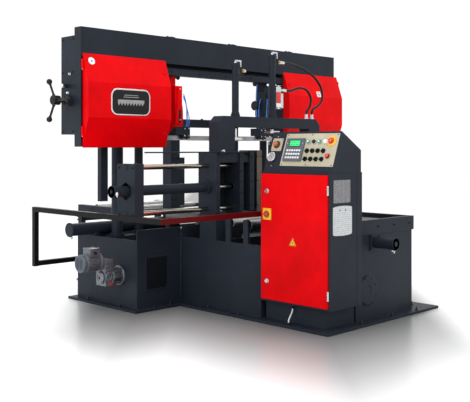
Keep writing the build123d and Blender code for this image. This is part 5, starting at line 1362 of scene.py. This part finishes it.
def cabinet_details():
    """Information plates, sheet seams, console gasket, feet and rear louvres of the cabinet."""
    low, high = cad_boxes["control_cabinet"]
    grey = Piece("grey_plate", "frame", "aluminium", GREY_LABEL, ZINC)
    at = on_face((-0.536, low.y, 1.025), FRONT)
    grey.cut(at, rounded_outline(0.200, 0.168, 0.004), 0.0012, 0.0004, 0)
    for x in (-0.092, 0.092):
        for z in (-0.076, 0.076):
            grey.turned(at @ Matrix.Translation((x, z, 0.0012)),
                        [(0.0032, 0), (0.0026, 0.0012), (0, 0.0015)], 1, 14)
    grey.finish()
    white = Piece("white_plate", "frame", "cable_grey", WHITE_LABEL, BLACK_PLASTIC, ZINC)
    at = on_face((-0.530, low.y, 0.810), FRONT)
    side, top = 0.113, 0.096
    outline = [(-side, -top)]
    outline += [(side * math.sin(math.radians(a)) * 1.0, -top - 0.0135 * math.cos(math.radians(a)))
                for a in range(-75, 76, 15)]
    outline += [(side, -top), (side, top)]
    outline += [(side * math.sin(math.radians(a)), top + 0.0135 * math.cos(math.radians(a)))
                for a in range(75, -76, -15)]
    outline += [(-side, top)]
    white.cut(at, outline, 0.0014, 0.0005, 0)
    for x in (-0.030, 0.036):
        white.turned(at @ Matrix.Translation((x, 0.078, 0.0013)), [(0.006, 0), (0.006, 0.0008), (0, 0.001)],
                     1, 20)
    white.finish()
    seams = Piece("cabinet_seams", "frame", "dark_paint", DARK, INNER_AND_SHADE, DARK_BOLT)
    seams.block(Matrix(), (low.x + 0.012, low.y - 0.0022, high.z - 0.0040),
                (high.x - 0.002, low.y + 0.001, high.z + 0.0005),
                0.0012)
    seams.block(Matrix(), (low.x + 0.330, low.y - 0.0018, low.z + 0.004),
                (low.x + 0.3335, low.y + 0.001, high.z - 0.006),
                0.0010)
    for x in (low.x + 0.070, high.x - 0.050):
        for y in (low.y + 0.085, high.y - 0.050):
            seams.turned(on_face((x, y, 0.020), UP, BACK), [(0.030, 0), (0.030, 0.006), (0.014, 0.010),
                                                            (0.014, 0.040), (0, 0.040)], 2, 24)
    for step in range(10):
        z = 0.30 + step * 0.030
        seams.block(on_face((high.x, (low.y + high.y) / 2, z), RIGHT), (-0.130, -0.008, -0.001),
                    (0.130, 0.006, 0.006),
                    0.004, 0)
    seams.finish()
    gland = Piece("cable_gland", "frame", "black_plastic", BLACK_PLASTIC)
    gland.turned(on_face((-0.664, -1.330, 0.1625), DOWN, BACK),
                 [(0.013, -0.004), (0.013, 0.006), (0.010, 0.009), (0.0085, 0.022), (0.0068, 0.026),
                  (0.0062, 0.026)],
                 0, 20)
    gland.turned(on_face((-0.714, -1.333, 0.0200), UP, BACK),
                 [(0.014, 0), (0.014, 0.006), (0.010, 0.009), (0.0080, 0.018), (0.0062, 0.019)], 0, 20)
    gland.finish()


def wheel_details():
    """Rims, hub caps and screws of the two band wheels, seen when the covers stand open."""
    for name, x in (("idler_wheel", -1.165), ("drive_wheel", 1.215)):
        kit = Piece(f"{name}_details", name, "cast", STEEL, DARK_BOLT, IRON)
        at = on_face((x, 0.075, WHEEL_Z), FRONT)
        kit.turned(at, [(0.262, -0.013), (0.264, -0.002), (0.268, 0.0008), (0.286, 0.0008),
                        (0.289, -0.001)], 0, 72)
        hub = on_face((x, 0.076, WHEEL_Z), FRONT)
        kit.turned(hub, [(0.060, 0), (0.060, 0.005), (0.055, 0.008), (0, 0.008)], 2, 44)
        for turn in range(6):
            angle = 2 * math.pi * turn / 6
            cap_screw(kit,
                      hub @ Matrix.Translation((0.046 * math.cos(angle), 0.046 * math.sin(angle), 0.007)),
                      0.007, 1)
        kit.finish()


# ------------------------------------------------------------------ stage
def stage():
    """Pale floor with a painted shadow that darkens it towards the machine's foot, soft lights and a level
    camera at the front left corner.
    """
    bpy.ops.mesh.primitive_plane_add(size=60, location=(0, 0, 0))
    floor = bpy.context.object
    floor.name = "studio_floor"
    finish = Finish("studio_floor", (0.97, 0.97, 0.97), 0.30, Specular_IOR_Level=0.5)
    here = finish.node("ShaderNodeTexCoord", {}, out="Object")
    x, y = (finish.node("ShaderNodeSeparateXYZ", {}, here, out=axis) for axis in ("X", "Y"))
    # Painted shadow: a ramp over the distance from the machine's footprint, dark at its foot and white at
    # SHADOW_REACH.
    reach = [(edge_x - x).maths("MAXIMUM", edge_x - x, edge_y - y) for edge_x, edge_y in SHADOW_EDGES]
    gap = reach[0].maths("MINIMUM", *reach) * math.sqrt(2)
    stops = [(0.0, 0.20), (0.20, 0.31), (0.42, 0.44), (0.60, 0.60), (0.76, 0.79), (0.92, 0.97)]
    painted_shadow = finish.node("ShaderNodeValToRGB", {"stops": stops}, gap * (1 / SHADOW_REACH))
    # The painted shadow fades out beyond the machine's left and right ends.
    across = (x - y) * math.sqrt(0.5)
    left = finish.node("ShaderNodeMapRange", {"interpolation_type": "SMOOTHSTEP"}, across, -1.50, -1.10,
                       1.0, 0.0)
    right = finish.node("ShaderNodeMapRange", {"interpolation_type": "SMOOTHSTEP"}, across, 1.50, 1.85, 0.0,
                        1.0)
    tone = finish.noise(finish.place(), 3.0, 3.0)
    # The floor's own white, with a faint random tone, where no shadow is painted.
    unshadowed_floor = finish.mix(finish.spread(tone, 0.0, 1.0), (0.965, 0.965, 0.965), (0.98, 0.98, 0.98))
    finish.set("Base Color", finish.mix(left.maths("MAXIMUM", left, right), painted_shadow, unshadowed_floor))
    floor.data.materials.append(finish.material)
    world = bpy.data.worlds.new("studio")
    world.use_nodes = True
    bpy.context.scene.world = world
    sky = world.node_tree.nodes["Background"]
    sky.inputs["Color"].default_value = (1.0, 1.0, 1.0, 1)
    sky.inputs["Strength"].default_value = SKY_STRENGTH
    lights = (
        ("key_light", (-4.5, -6.5, 5.5), (0, -0.4, 1.1), 4.0, 90.0, (1.0, 1.0, 1.0)),
        ("left_light", (-7.5, 0.5, 3.2), (-0.8, 0.2, 1.2), 3.0, 120.0, (0.86, 0.92, 1.0)),
        ("top_light", (0.0, -0.5, 6.5), (0, 0, 0.5), 5.0, 110.0, (1.0, 1.0, 1.0)),
        ("back_light", (4.5, 6.0, 4.0), (0, 0.3, 1.2), 4.0, 100.0, (1.0, 1.0, 1.0)),
    )
    for name, place, aim, size, power, tint in lights:
        lamp = bpy.data.lights.new(name, "AREA")
        lamp.size = size
        lamp.energy = power
        lamp.color = tint
        thing = bpy.data.objects.new(name, lamp)
        thing.location = place
        thing.rotation_euler = (Vector(aim) - Vector(place)).to_track_quat("-Z", "Y").to_euler()
        bpy.context.scene.collection.objects.link(thing)
    lens = bpy.data.cameras.new("camera")
    lens.lens = CAMERA_LENS
    lens.sensor_width = 36.0
    lens.sensor_fit = "HORIZONTAL"
    lens.shift_y = CAMERA_SHIFT
    camera = bpy.data.objects.new("camera", lens)
    camera.location = CAMERA_PLACE
    camera.rotation_euler = (math.radians(90), 0, math.radians(-45))
    bpy.context.scene.collection.objects.link(camera)
    bpy.context.scene.camera = camera
    bpy.context.scene.view_settings.view_transform = "Standard"


dress_frame()
cover_badge()
cover_details()
blade_teeth()
bow_fasteners()
tension_unit()
guide_arms()
sleeves_and_columns()
drive_motor()
base_fasteners()
table_details()
guard_details()
auger_drive()
gantry_details()
vice_details()
clamp_details()
rear_details()
panel_buttons()
panel_faces()
door_details()
cabinet_details()
wheel_details()
stage()
